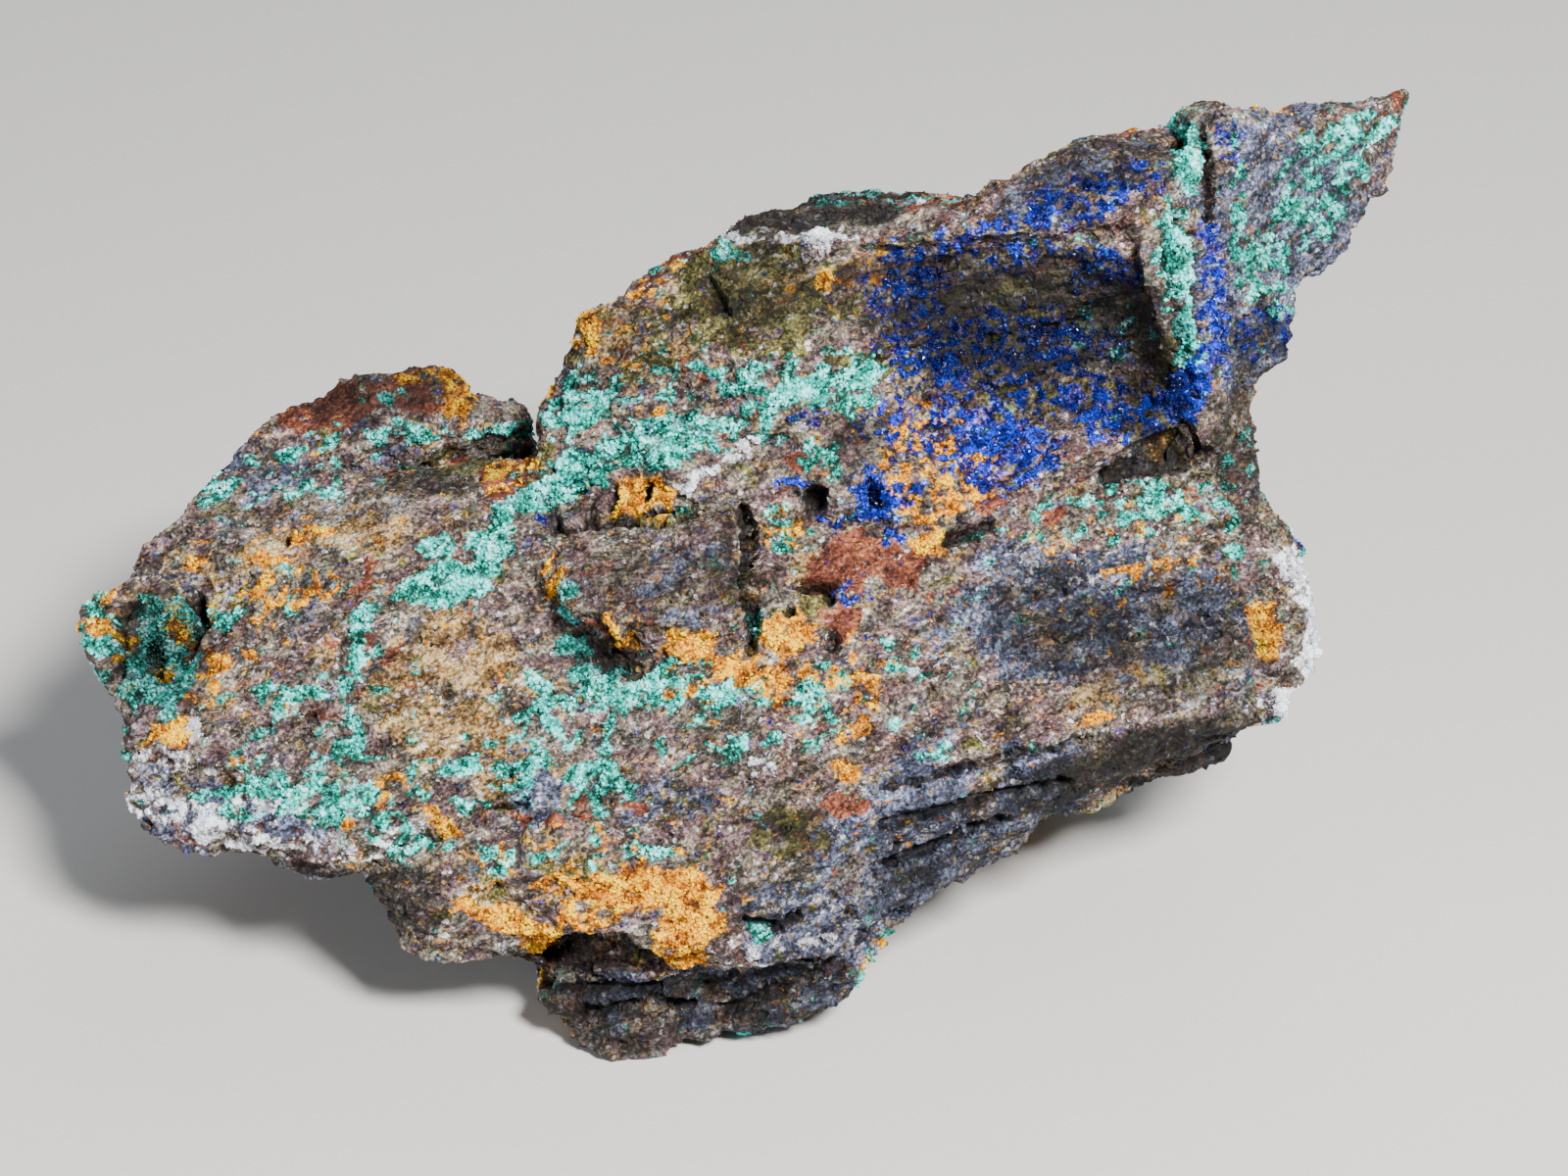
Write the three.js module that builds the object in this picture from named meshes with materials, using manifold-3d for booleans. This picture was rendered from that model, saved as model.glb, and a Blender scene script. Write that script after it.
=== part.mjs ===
// A hand specimen of copper ore: one broken piece of layered grey-brown rock that carries crusts of
// blue azurite and green malachite, with ochre and rust stains.
// Millimetres, +Z up. The origin is on the surface it rests on, under the middle of its outline.
import * as THREE from "three";
import { ConvexHull } from "three/addons/math/ConvexHull.js";
import { ImprovedNoise } from "three/addons/math/ImprovedNoise.js";
import { mergeVertices } from "three/addons/utils/BufferGeometryUtils.js";
import Module from "manifold-3d";

// Driving dimensions
const FACE_LEAN = THREE.MathUtils.degToRad(30); // how far the plane that the front is laid out on leans back
const VIEW_DISTANCE = 420; // the front is laid out as it looks from here
const VIEW_HEIGHT = 40; // height of the eye's axis, measured up the leaning plane
const BLEND = 1.2; // how softly two masses run into each other
const BED_THICKNESS = 7; // spacing of the rock's layers where they break out as ledges
const BED_RELIEF = 1.6; // how far a ledge stands out
const BED_WAVE = 2; // how far a layer strays from flat
const BED_WAVE_WIDTH = 24;
const LEDGES_STRONG_BELOW = 10; // up to this height the ledges are at their strongest
const LEDGES_WEAK_ABOVE = 30; // and from this height on at their weakest
const LEDGE_STRENGTH = 0.35; // share of the relief that they have high up
const LEDGE_GAIN = 0.65; // share that comes to it low down
const LEDGE_UNEVENNESS = 0.6; // how far that share changes from place to place
const SCALLOP_DEPTH = 3; // depth of the broad scallops of the broken faces
const SCALLOP_WIDTH = 15;
const CHIP_DEPTH = 1.2; // depth of the small ones on them
const CHIP_WIDTH = 6.4;
const CELL = 2.65; // spacing of the surface's facets
const PULL = 0.08; // how strongly a vertex keeps to the middle of its cell
const TRIM_BLOCK = 240; // side of the block that trims the underside flat

// Directions of the leaning plane: up it, and out of it towards the viewer
const UP = new THREE.Vector3(0, Math.sin(FACE_LEAN), Math.cos(FACE_LEAN));
const OUT = new THREE.Vector3(0, -Math.cos(FACE_LEAN), Math.sin(FACE_LEAN));

// A point of the visible side: right and up as they look from the front, and out towards the viewer.
function seen(right, up, out) {
  const spread = (VIEW_DISTANCE - out) / VIEW_DISTANCE;
  return new THREE.Vector3(right * spread, 0, 0)
    .addScaledVector(UP, VIEW_HEIGHT + (up - VIEW_HEIGHT) * spread)
    .addScaledVector(OUT, out);
}

// A point of the back or the underside: right, back and up from the front of the foot.
function hidden(x, y, z) {
  return new THREE.Vector3(x, y, z);
}

// The layers rise to the right across the face.
const BED_NORMAL = new THREE.Vector3(-0.3, 0, 0)
  .addScaledVector(UP, 0.84)
  .addScaledVector(OUT, 0.42)
  .normalize();

// The convex masses that the broken stone is made up of, by their corners
const masses = {
  slab: [
    seen(-55, 41, -12),
    seen(-57, 22, 1),
    seen(-48, 18, 3),
    seen(-37, 16, 6),
    seen(-18, 14, 9),
    seen(3, 16, 9),
    seen(9, 23, 7),
    seen(22, 26.5, 4),
    seen(41, 28.5, -2),
    seen(41, 44, -10),
    seen(37, 49.5, -12),
    seen(20, 50, -9),
    seen(-5, 48, -6),
    seen(-21, 48.5, -9),
    seen(-40, 46, -13),
    hidden(-50, 46, 13),
    hidden(-20, 54, 4),
    hidden(25, 54, 5),
    hidden(40, 46, 16),
    hidden(-34, 12, 10),
    hidden(0, 10, 2),
    hidden(24, 18, 13),
  ],
  leftEnd: [
    seen(-60.5, 40, -12),
    seen(-61, 34.5, -8),
    seen(-60, 32, -8),
    seen(-54, 41, -10),
    seen(-50, 30, -2),
    seen(-57, 26.5, -5),
    hidden(-61, 36, 22),
    hidden(-58, 27, 18),
    hidden(-52, 44, 14),
  ],
  lowerLobe: [
    seen(-57.5, 23, 0),
    seen(-57.2, 19, -1),
    seen(-57, 27, -3),
    seen(-44, 14.2, 3),
    seen(-36, 14.5, 5),
    seen(-36, 24, 5),
    seen(-50, 28, 0),
    hidden(-54, 22, 13),
    hidden(-40, 22, 9),
  ],
  leftTop: [
    seen(-57.5, 40.5, -11),
    seen(-55.8, 44, -15),
    seen(-52, 47.5, -20),
    seen(-48.5, 50.5, -24),
    seen(-22, 51, -18),
    seen(-22, 48, -9),
    seen(-53, 41, -10),
    hidden(-54, 48, 20),
    hidden(-22, 56, 16),
  ],
  backRidge: [
    seen(-48.5, 51, -25),
    seen(-42.8, 57.3, -28),
    seen(-38, 59.5, -29),
    seen(-36, 56, -25),
    seen(-22, 54, -24),
    seen(-43, 52, -23),
    seen(-22, 56, -28),
    hidden(-51, 52, 24),
    hidden(-47, 60, 18),
    hidden(-22, 64, 18),
    hidden(-20, 56, 8),
  ],
  backKnob: [
    seen(-38.5, 59.3, -28),
    seen(-31, 60.9, -29),
    seen(-28.3, 60.8, -29),
    seen(-26.8, 58.8, -28),
    seen(-30, 55.5, -25),
    seen(-37, 56, -25),
    hidden(-36, 62, 30),
    hidden(-26, 62, 28),
  ],
  upperLeft: [
    seen(-21.5, 57, -14),
    seen(-21.5, 49, -10),
    seen(-18, 62.5, -14),
    seen(-13.5, 66, -12),
    seen(-7, 70, -10),
    seen(4, 70.5, -7),
    seen(17, 71, -5.5),
    seen(18, 50, -5),
    seen(8, 46, -4),
    seen(-8, 48.5, -4.5),
    seen(-2.5, 72.5, -17),
    seen(2.5, 74.5, -20),
    seen(13, 75.3, -21),
    seen(19, 75, -20),
    hidden(-17, 60, 30),
    hidden(-13, 62, 44),
    hidden(16, 65, 50),
    hidden(16, 64, 32),
    hidden(-15, 45, 25),
  ],
  brownCap: [
    seen(-15.5, 65, -14),
    seen(-14.5, 66.5, -15),
    seen(-8, 70, -14),
    seen(-13, 65.5, -10),
    seen(-7, 68.5, -8.5),
    seen(-6, 70, -10),
    hidden(-12, 52, 48),
  ],
  upperRight: [
    seen(12, 71, -6),
    seen(24, 72, -4.5),
    seen(30, 73.8, -5),
    seen(33.5, 76, -6),
    seen(34.5, 80.3, -11),
    seen(31, 80.3, -12.5),
    seen(26.5, 79.3, -13),
    seen(22, 76.7, -14),
    seen(19, 75, -14),
    seen(31.5, 67, -4.5),
    seen(36, 54.5, -9),
    seen(22, 50.5, -5),
    seen(14, 50, -5),
    hidden(34, 66, 32),
    hidden(34, 66, 57),
    hidden(20, 64, 52),
    hidden(18, 64, 34),
    hidden(30, 42, 25),
    hidden(14, 42, 25),
  ],
  wing: [
    seen(33.5, 76, -6),
    seen(35, 80.8, -12),
    seen(38.5, 82.3, -14),
    seen(41, 81.5, -16),
    seen(47, 79.5, -19),
    seen(50.5, 72.5, -23),
    seen(47, 66.5, -21),
    seen(44, 60.5, -18),
    seen(41, 58, -16),
    seen(36, 54.5, -10),
    seen(31.5, 67, -4.5),
    hidden(50, 68, 52),
    hidden(36, 68, 58),
    hidden(36, 65, 40),
  ],
  wingTip: [
    seen(44, 80.5, -18),
    seen(47, 81.7, -21),
    seen(54.3, 83.2, -26),
    seen(54.8, 78.5, -26),
    seen(51, 72.5, -23.5),
    seen(46, 68, -19.5),
    hidden(54, 68, 58),
    hidden(46, 66, 60),
    hidden(48, 66, 50),
  ],
  rightNeck: [
    seen(41, 59, -16),
    seen(41.3, 52, -17),
    seen(41.3, 44, -16),
    seen(36, 56, -10),
    seen(37.5, 48, -12.5),
    hidden(40, 62, 42),
    hidden(41, 56, 24),
    hidden(30, 56, 30),
  ],
  rightEnd: [
    seen(41.3, 47, -17),
    seen(44.6, 43.5, -16),
    seen(47.4, 33.5, -13),
    seen(46.6, 30, -11),
    seen(42.8, 27.3, -8),
    seen(41, 28.5, -3),
    seen(38.5, 44, -10),
    hidden(46, 46, 20),
    hidden(41, 56, 28),
    hidden(38, 46, 12),
  ],
  foot: [
    seen(-36.5, 14.5, 5),
    seen(-34.5, 10, 4),
    seen(-30.5, 7, 3),
    seen(-24, 6.5, 4),
    seen(-13, 9.5, 10),
    seen(3, 6, 7),
    seen(9, 11, 6),
    seen(9, 22, 7),
    seen(-3, 18, 10.5),
    seen(-30, 20, 8),
    hidden(-28, 16, 4),
    hidden(8, 18, 2),
  ],
  toe: [
    seen(-24, 6, 0),
    seen(-20.8, 4, 1),
    seen(-17.8, -0.4, 1),
    seen(-11.5, -0.6, 1),
    seen(-8.5, 1.2, 1.5),
    seen(-9, 6, 6),
    seen(-20, 6, 3.5),
    hidden(-18, 8, -3),
    hidden(-8, 8, -3),
    hidden(-8, 30, -3),
    hidden(-20, 30, -3),
  ],
  toeRight: [
    seen(-10, 0.8, 1),
    seen(-6, 0.2, 1),
    seen(-2, 0.8, 1.5),
    seen(5.4, 5, 2.5),
    seen(9.7, 10.8, 3),
    seen(-12, 7.5, 6),
    seen(2, 5, 5),
    hidden(-10, 8, -3),
    hidden(1, 10, -3),
    hidden(8, 26, -3),
    hidden(-10, 30, -3),
  ],
  lowerStep: [
    seen(8.5, 23, 7),
    seen(22, 26, 4),
    seen(25.7, 23.7, 1),
    seen(22, 19, -5),
    seen(13.6, 14, -1),
    seen(9, 11, 3),
    hidden(8, 24, 4),
    hidden(24, 34, 8),
  ],
  rightUnderside: [
    seen(41, 28.5, -3),
    seen(24, 26, 2),
    seen(38.5, 25.5, -14),
    seen(31.5, 23, -16),
    seen(25, 20.5, -16),
    hidden(36, 46, 12),
    hidden(16, 42, 2),
  ],
  middleChunk: [
    seen(-20, 45.8, -4.5),
    seen(-3.5, 46.2, -3),
    seen(-3, 36, 3.6),
    seen(-9, 34, 4.6),
    seen(-19, 37, 2.8),
    seen(-21, 44, -8),
    seen(-3, 44, -8),
    seen(-12, 34, -2),
  ],
  core: [
    hidden(-18, 9, -3),
    hidden(0, 10, -3),
    hidden(9, 25, -3),
    hidden(23, 42, -3),
    hidden(22, 54, -3),
    hidden(-20, 56, -3),
    hidden(-33, 36, -3),
    hidden(-28, 20, -3),
    hidden(-38, 56, 20),
    hidden(36, 58, 24),
    hidden(-10, 62, 34),
    hidden(30, 64, 40),
    hidden(-20, 20, 18),
    hidden(14, 24, 18),
  ],
};

// Slits broken out between two masses, also by their corners
const slits = {
  underUpperBlock: [
    seen(25, 48.8, -1),
    seen(38, 52.5, -4),
    seen(39, 54.6, -4),
    seen(27, 50.2, -1),
    seen(29, 50.2, -13),
    seen(38, 53, -18),
    seen(38, 54.2, -18),
  ],
  underFootLip: [
    seen(-26, 7, 12),
    seen(-12, 10, 13),
    seen(-6, 8, 12),
    seen(-16, 6, 12),
    seen(-20, 7.8, 2),
    seen(-10, 8, 1),
  ],
};

// Scoops and pockets, each an ellipsoid: its centre and its half-sizes to the right, up and out
const scoops = {
  azuriteHollow: { centre: seen(20, 60.5, 20), half: [25, 16.6, 31] },
  hollowDepth: { centre: seen(26, 60, 4), half: [9.5, 9, 17] },
  leftPocket: { centre: seen(-56, 34, -3), half: [3.5, 4.5, 4] },
  middlePocket: { centre: seen(-13.5, 33.8, 4), half: [4.6, 2.4, 4] },
  lowerRightBay: { centre: seen(31, 36, 17), half: [24, 14, 19] },
};

function ellipsoidDistance(p, { centre, half }) {
  const d = p.clone().sub(centre);
  const scaled = Math.hypot(d.x / half[0], d.dot(UP) / half[1], d.dot(OUT) / half[2]);
  return (scaled - 1) * Math.min(...half);
}

function smoothMin(a, b, reach) {
  const overlap = Math.max(reach - Math.abs(a - b), 0) / reach;
  return Math.min(a, b) - (overlap * overlap * reach) / 4;
}

const noise = new ImprovedNoise();

// Smooth noise whose swells are about as wide as given; each use has a part of it to itself
function swells(p, width, part) {
  return noise.noise(p.x / width, p.y / width, p.z / width + part);
}

// Scallops where chips have come away, with sharp crests between them
function scallops(p) {
  const broad = SCALLOP_DEPTH * Math.abs(swells(p, SCALLOP_WIDTH, 3));
  const small = CHIP_DEPTH * Math.abs(swells(p, CHIP_WIDTH, 40));
  return broad + small - (SCALLOP_DEPTH + CHIP_DEPTH) / 6;
}

// Ledges: each layer stands out a little where the rock broke across its bedding, most of all low
// down, and here and there not at all
function ledges(p) {
  const layer = (p.dot(BED_NORMAL) + BED_WAVE * swells(p, BED_WAVE_WIDTH, 80)) / BED_THICKNESS;
  const share = layer - Math.floor(layer);
  const lowDown = 1 - THREE.MathUtils.smoothstep(p.z, LEDGES_STRONG_BELOW, LEDGES_WEAK_ABOVE);
  const uneven = LEDGE_UNEVENNESS * swells(p, SCALLOP_WIDTH, 9);
  const strength = LEDGE_STRENGTH + LEDGE_GAIN * lowDown + uneven;
  return BED_RELIEF * Math.max(strength, 0) * (1 - 4 * share * (1 - share)) ** 2;
}

// The faces of a convex mass, as planes
function facesOf(corners) {
  return new ConvexHull()
    .setFromPoints(corners)
    .faces.map(({ normal, constant }) => ({ normal: normal.clone(), constant }));
}

const massFaces = Object.values(masses).map(facesOf);
const slitFaces = Object.values(slits).map(facesOf);

function distanceTo(faces, p) {
  return Math.max(...faces.map(({ normal, constant }) => normal.dot(p) - constant));
}

// Below zero inside the stone, above zero outside
function field(p) {
  let distance = massFaces
    .map((faces) => distanceTo(faces, p))
    .reduce((sum, mass) => smoothMin(sum, mass, BLEND));
  for (const scoop of Object.values(scoops))
    distance = Math.max(distance, -ellipsoidDistance(p, scoop));
  for (const faces of slitFaces) distance = Math.max(distance, -distanceTo(faces, p));
  return distance + scallops(p) + ledges(p);
}

// The direction that leads out of the stone
function outwards(p) {
  const step = CELL / 40;
  return new THREE.Vector3(
    field(p.clone().setX(p.x + step)),
    field(p.clone().setY(p.y + step)),
    field(p.clone().setZ(p.z + step)),
  )
    .subScalar(field(p))
    .normalize();
}

// The point that best fits the tangent planes at the crossings of one cell, so that edges stay sharp
function cornerOf(crossings) {
  const middle = new THREE.Vector3();
  for (const p of crossings) middle.addScaledVector(p, 1 / crossings.length);
  const squares = new THREE.Matrix3().identity().multiplyScalar(PULL);
  const pull = new THREE.Vector3();
  for (const p of crossings) {
    const normal = outwards(p);
    pull.addScaledVector(normal, normal.dot(p) - normal.dot(middle));
    const n = normal.toArray();
    squares.elements = squares.elements.map((sum, i) => sum + n[i % 3] * n[Math.floor(i / 3)]);
  }
  return pull.applyMatrix3(squares.invert()).clampLength(0, CELL * 0.6).add(middle);
}

// A grid of the field's values over a box. Bits 1, 2 and 4 of a cell corner's number are its steps
// along X, Y and Z.
function gridOf(low, high) {
  const [columns, rows, layers] = high.clone().sub(low).divideScalar(CELL).ceil().addScalar(1);
  const strides = [1, columns, columns * rows];
  const corners = Array.from({ length: 8 }, (_, c) =>
    strides.reduce((offset, stride, axis) => offset + stride * ((c >> axis) & 1), 0),
  );
  const pointAt = (here) =>
    new THREE.Vector3(here % columns, Math.floor(here / columns) % rows, Math.floor(here / strides[2]))
      .multiplyScalar(CELL)
      .add(low);
  const values = Float64Array.from({ length: columns * rows * layers }, (_, here) => field(pointAt(here)));
  return { strides, corners, pointAt, values };
}

// Gaps between the masses that the outside air doesn't reach become stone.
function fillSealedGaps({ values, strides }) {
  const reached = new Uint8Array(values.length);
  const waiting = [0];
  while (waiting.length) {
    const here = waiting.pop();
    if (reached[here] || !(values[here] >= 0)) continue;
    reached[here] = 1;
    for (const stride of strides) waiting.push(here - stride, here + stride);
  }
  values.forEach((value, here) => {
    if (value >= 0 && !reached[here]) values[here] = -CELL / 2;
  });
}

// True when a set of a cell's corners hangs together along the cell's edges
function isJoined(set) {
  let reached = set & -set;
  for (let before = 0; before !== reached; ) {
    before = reached;
    for (let c = 0; c < 8; c++)
      if (set & (1 << c) && [1, 2, 4].some((axis) => reached & (1 << (c ^ axis)))) reached |= 1 << c;
  }
  return reached === set;
}

// True when the surface would pinch itself in a cell, where its stone or its air falls apart or
// meets only across the diagonal of a side
function isPinched(stone) {
  const sides = [0x55, 0xaa, 0x33, 0xcc, 0x0f, 0xf0];
  return !isJoined(stone) || !isJoined(0xff - stone) || sides.some((side) => !isJoined(stone & side));
}

const pinched = Array.from({ length: 256 }, (_, stone) => isPinched(stone));

// Each cell that the surface would pinch itself in has the air corner nearest to the stone filled.
function fillPinches({ values, corners }) {
  for (let filled = true; filled; ) {
    filled = false;
    for (let here = 0; here < values.length - corners[7]; here++) {
      const cell = corners.map((corner) => here + corner);
      const stone = cell.reduce((set, at, c) => set | ((values[at] < 0) << c), 0);
      if (!pinched[stone]) continue;
      const air = cell.filter((at) => values[at] >= 0).sort((a, b) => values[a] - values[b]);
      values[air[0]] = -CELL / 10;
      filled = true;
    }
  }
}

// The surface where the field is zero: one vertex in each cell of the grid that the surface crosses,
// and one quad, cut along its shorter diagonal, across each grid edge that it crosses
function surfaceOf(grid) {
  const { values, corners, strides, pointAt } = grid;
  const crosses = (a, b) => values[a] < 0 !== values[b] < 0;
  const vertices = [];
  const vertexOf = new Map();
  for (let here = 0; here < values.length - corners[7]; here++) {
    const crossings = [];
    corners.forEach((corner, c) => {
      strides.forEach((stride, axis) => {
        const [a, b] = [here + corner, here + corner + stride];
        if (c & (1 << axis) || !crosses(a, b)) return;
        crossings.push(pointAt(a).lerp(pointAt(b), values[a] / (values[a] - values[b])));
      });
    });
    if (!crossings.length) continue;
    vertexOf.set(here, vertices.length);
    vertices.push(cornerOf(crossings));
  }

  const triangles = [];
  for (let here = strides[2]; here < values.length - strides[2]; here++)
    strides.forEach((stride, axis) => {
      if (!crosses(here, here + stride)) return;
      const [b, c] = [strides[(axis + 1) % 3], strides[(axis + 2) % 3]];
      const quad = [here, here - b, here - b - c, here - c].map((cell) => vertexOf.get(cell));
      if (values[here] >= 0) quad.reverse();
      const across = vertices[quad[0]].distanceTo(vertices[quad[2]]);
      if (across > vertices[quad[1]].distanceTo(vertices[quad[3]])) quad.push(quad.shift());
      triangles.push(quad[0], quad[1], quad[2], quad[0], quad[2], quad[3]);
    });
  return { vertices, triangles };
}

const wasm = await Module();
wasm.setup();

function solidOf(positions, triangles) {
  return new wasm.Manifold(
    new wasm.Mesh({
      numProp: 3,
      vertProperties: new Float32Array(positions),
      triVerts: new Uint32Array(triangles),
    }),
  );
}

function roughStone() {
  const bounds = new THREE.Box3().setFromPoints(Object.values(masses).flat()).expandByScalar(2 * CELL);
  const grid = gridOf(bounds.min, bounds.max);
  fillSealedGaps(grid);
  fillPinches(grid);
  const { vertices, triangles } = surfaceOf(grid);
  return solidOf(vertices.flatMap((v) => v.toArray()), triangles);
}

// Everything below the flat broken underside that the stone rests on
function belowTheFloor() {
  const box = new THREE.BoxGeometry(TRIM_BLOCK, TRIM_BLOCK, TRIM_BLOCK);
  box.translate(0, 0, -TRIM_BLOCK / 2);
  box.deleteAttribute("normal");
  box.deleteAttribute("uv");
  const merged = mergeVertices(box);
  return solidOf(merged.attributes.position.array, merged.index.array);
}

function geometryOf(solid) {
  const mesh = solid.getMesh();
  const geometry = new THREE.BufferGeometry();
  geometry.setAttribute("position", new THREE.BufferAttribute(mesh.vertProperties, 3));
  geometry.setIndex(new THREE.BufferAttribute(mesh.triVerts, 1));
  return geometry;
}

// The stone is the largest body that the trim leaves; chips that hang on nothing are dropped.
function azuriteRock() {
  const [stone] = roughStone()
    .subtract(belowTheFloor())
    .decompose()
    .sort((a, b) => b.volume() - a.volume());
  const geometry = geometryOf(stone);
  geometry.computeBoundingBox();
  const middle = geometry.boundingBox.getCenter(new THREE.Vector3());
  const material = new THREE.MeshStandardMaterial({ color: 0x7d726c, roughness: 0.85, metalness: 0 });
  const rock = new THREE.Mesh(geometry, material);
  rock.name = "azurite_rock";
  rock.position.set(-middle.x, -middle.y, 0);
  return rock;
}

const specimen = new THREE.Group();
specimen.add(azuriteRock());

export default specimen;
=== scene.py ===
"""The looks of an azurite hand specimen: broken layered rock with crusts of blue azurite and green
malachite, ochre and rust stains and white quartz, on a plain pale floor."""

import itertools
import logging
import math
from dataclasses import dataclass
from enum import Enum

import bmesh
import bpy
import numpy as np
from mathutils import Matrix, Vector


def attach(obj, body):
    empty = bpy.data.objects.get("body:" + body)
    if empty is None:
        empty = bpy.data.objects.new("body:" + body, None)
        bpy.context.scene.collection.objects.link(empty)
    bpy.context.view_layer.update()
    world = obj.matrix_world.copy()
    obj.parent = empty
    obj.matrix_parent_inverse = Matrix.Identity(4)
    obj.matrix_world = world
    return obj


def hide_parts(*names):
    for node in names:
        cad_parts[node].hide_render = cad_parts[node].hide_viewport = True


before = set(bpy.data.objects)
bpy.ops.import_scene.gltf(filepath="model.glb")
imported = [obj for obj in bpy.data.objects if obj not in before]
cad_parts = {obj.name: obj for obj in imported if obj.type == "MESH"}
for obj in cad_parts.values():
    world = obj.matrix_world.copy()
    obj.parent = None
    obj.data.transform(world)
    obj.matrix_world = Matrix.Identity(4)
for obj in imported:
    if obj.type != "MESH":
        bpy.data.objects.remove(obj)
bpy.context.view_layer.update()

LOG = logging.getLogger("azurite specimen")
MM = 0.001
ROCK_NODE = "azurite_rock"
BODY = "root"
TINT = "tint"
ACROSS_LAYERS = Vector((-0.30, 0.056, 0.937)).normalized()

Colour = tuple[float, float, float]
Stops = tuple[tuple[float, Colour], ...]
Value = bpy.types.NodeSocket | float | tuple[float, ...]


def bedded(points: np.ndarray, thinness: float) -> np.ndarray:
    """Stretch space across the rock's layers, so that noise on it lies along them.

    Args:
        points: One row of X, Y and Z for each point.
        thinness: How many times thinner the noise gets across the layers.

    Returns:
        The stretched points.
    """
    across = np.array(ACROSS_LAYERS)
    return points + (thinness - 1.0) * (points @ across)[:, None] * across


def smooth(values: np.ndarray, low: float, high: float) -> np.ndarray:
    """Ease from 0 at one value to 1 at another.

    Args:
        values: The numbers to ease.
        low: The value that gives 0.
        high: The value that gives 1; it may be below low.

    Returns:
        Numbers from 0 to 1.
    """
    part = np.clip((values - low) / (high - low), 0.0, 1.0)
    return part * part * (3.0 - 2.0 * part)


def even(values: np.ndarray) -> np.ndarray:
    """Spread values evenly over 0 to 1 and keep their order.

    Args:
        values: Any numbers.

    Returns:
        Each number's rank, as a share of them all.
    """
    ranks = np.empty(len(values))
    ranks[np.argsort(values)] = np.arange(len(values))
    return ranks / max(len(values) - 1, 1)


class Swells:
    """Random noise over space, the same on every run.

    STRENGTH brings it to about -1 to 1, and APART keeps noises that are added from lining up.
    """

    COUNT = 256
    STRENGTH = 1.7
    APART = 31.0

    def __init__(self, seed: int) -> None:
        """Draw the random slopes and spots.

        Args:
            seed: The number that this noise is drawn from.
        """
        draw = np.random.default_rng(seed)
        self.order = draw.permutation(self.COUNT)
        slopes = draw.normal(size=(self.COUNT, 3))
        self.slopes = slopes / np.linalg.norm(slopes, axis=1, keepdims=True)
        self.spots = draw.random((self.COUNT, 3))

    def _drawn(self, cell: np.ndarray) -> np.ndarray:
        """Give each whole-number cell of space its random number below 256."""
        last = self.COUNT - 1
        first = self.order[cell[:, 0] & last]
        second = self.order[(first + cell[:, 1]) & last]
        return self.order[(second + cell[:, 2]) & last]

    def at(self, points: np.ndarray, width: float) -> np.ndarray:
        """Smooth noise.

        Args:
            points: One row of X, Y and Z for each point.
            width: How wide its swells are, in the points' unit.

        Returns:
            A number from about -1 to 1 for each point.
        """
        scaled = points / width
        cell = np.floor(scaled).astype(np.int64)
        part = scaled - cell
        ease = smooth(part, 0.0, 1.0)
        total = np.zeros(len(points))
        for corner in itertools.product((0, 1), repeat=3):
            step = np.array(corner)
            slope = self.slopes[self._drawn(cell + step)]
            weight = np.prod(np.where(step, ease, 1.0 - ease), axis=1)
            total += weight * np.sum(slope * (part - step), axis=1)
        return total * self.STRENGTH

    def rough(self, points: np.ndarray, width: float, layers: int) -> np.ndarray:
        """Noise with finer and finer noise on it.

        Args:
            points: One row of X, Y and Z for each point.
            width: How wide the broadest swells are.
            layers: How many noises are added, each half as wide and half as strong.

        Returns:
            A number for each point.
        """
        return sum(self.at(points + self.APART * i, width / 2**i) / 2**i for i in range(layers))

    def grains(self, points: np.ndarray, width: float) -> tuple[np.ndarray, np.ndarray, np.ndarray]:
        """Split space into grains, each round a random spot.

        Args:
            points: One row of X, Y and Z for each point.
            width: How far apart the spots are.

        Returns:
            For each point how far its grain's spot is, in widths, the spot's random number below
            256, and how high the point stands on the grain's tilted face, in widths.
        """
        scaled = points / width
        cell = np.floor(scaled).astype(np.int64)
        nearest = np.full(len(points), np.inf)
        owner = np.zeros(len(points), dtype=np.int64)
        height = np.zeros(len(points))
        for step in itertools.product((-1, 0, 1), repeat=3):
            there = cell + np.array(step)
            drawn = self._drawn(there)
            offset = scaled - there - self.spots[drawn]
            away = np.linalg.norm(offset, axis=1)
            closer = away < nearest
            nearest[closer] = away[closer]
            owner[closer] = drawn[closer]
            height[closer] = np.sum(offset * self.slopes[drawn], axis=1)[closer]
        return nearest, owner, height


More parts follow.
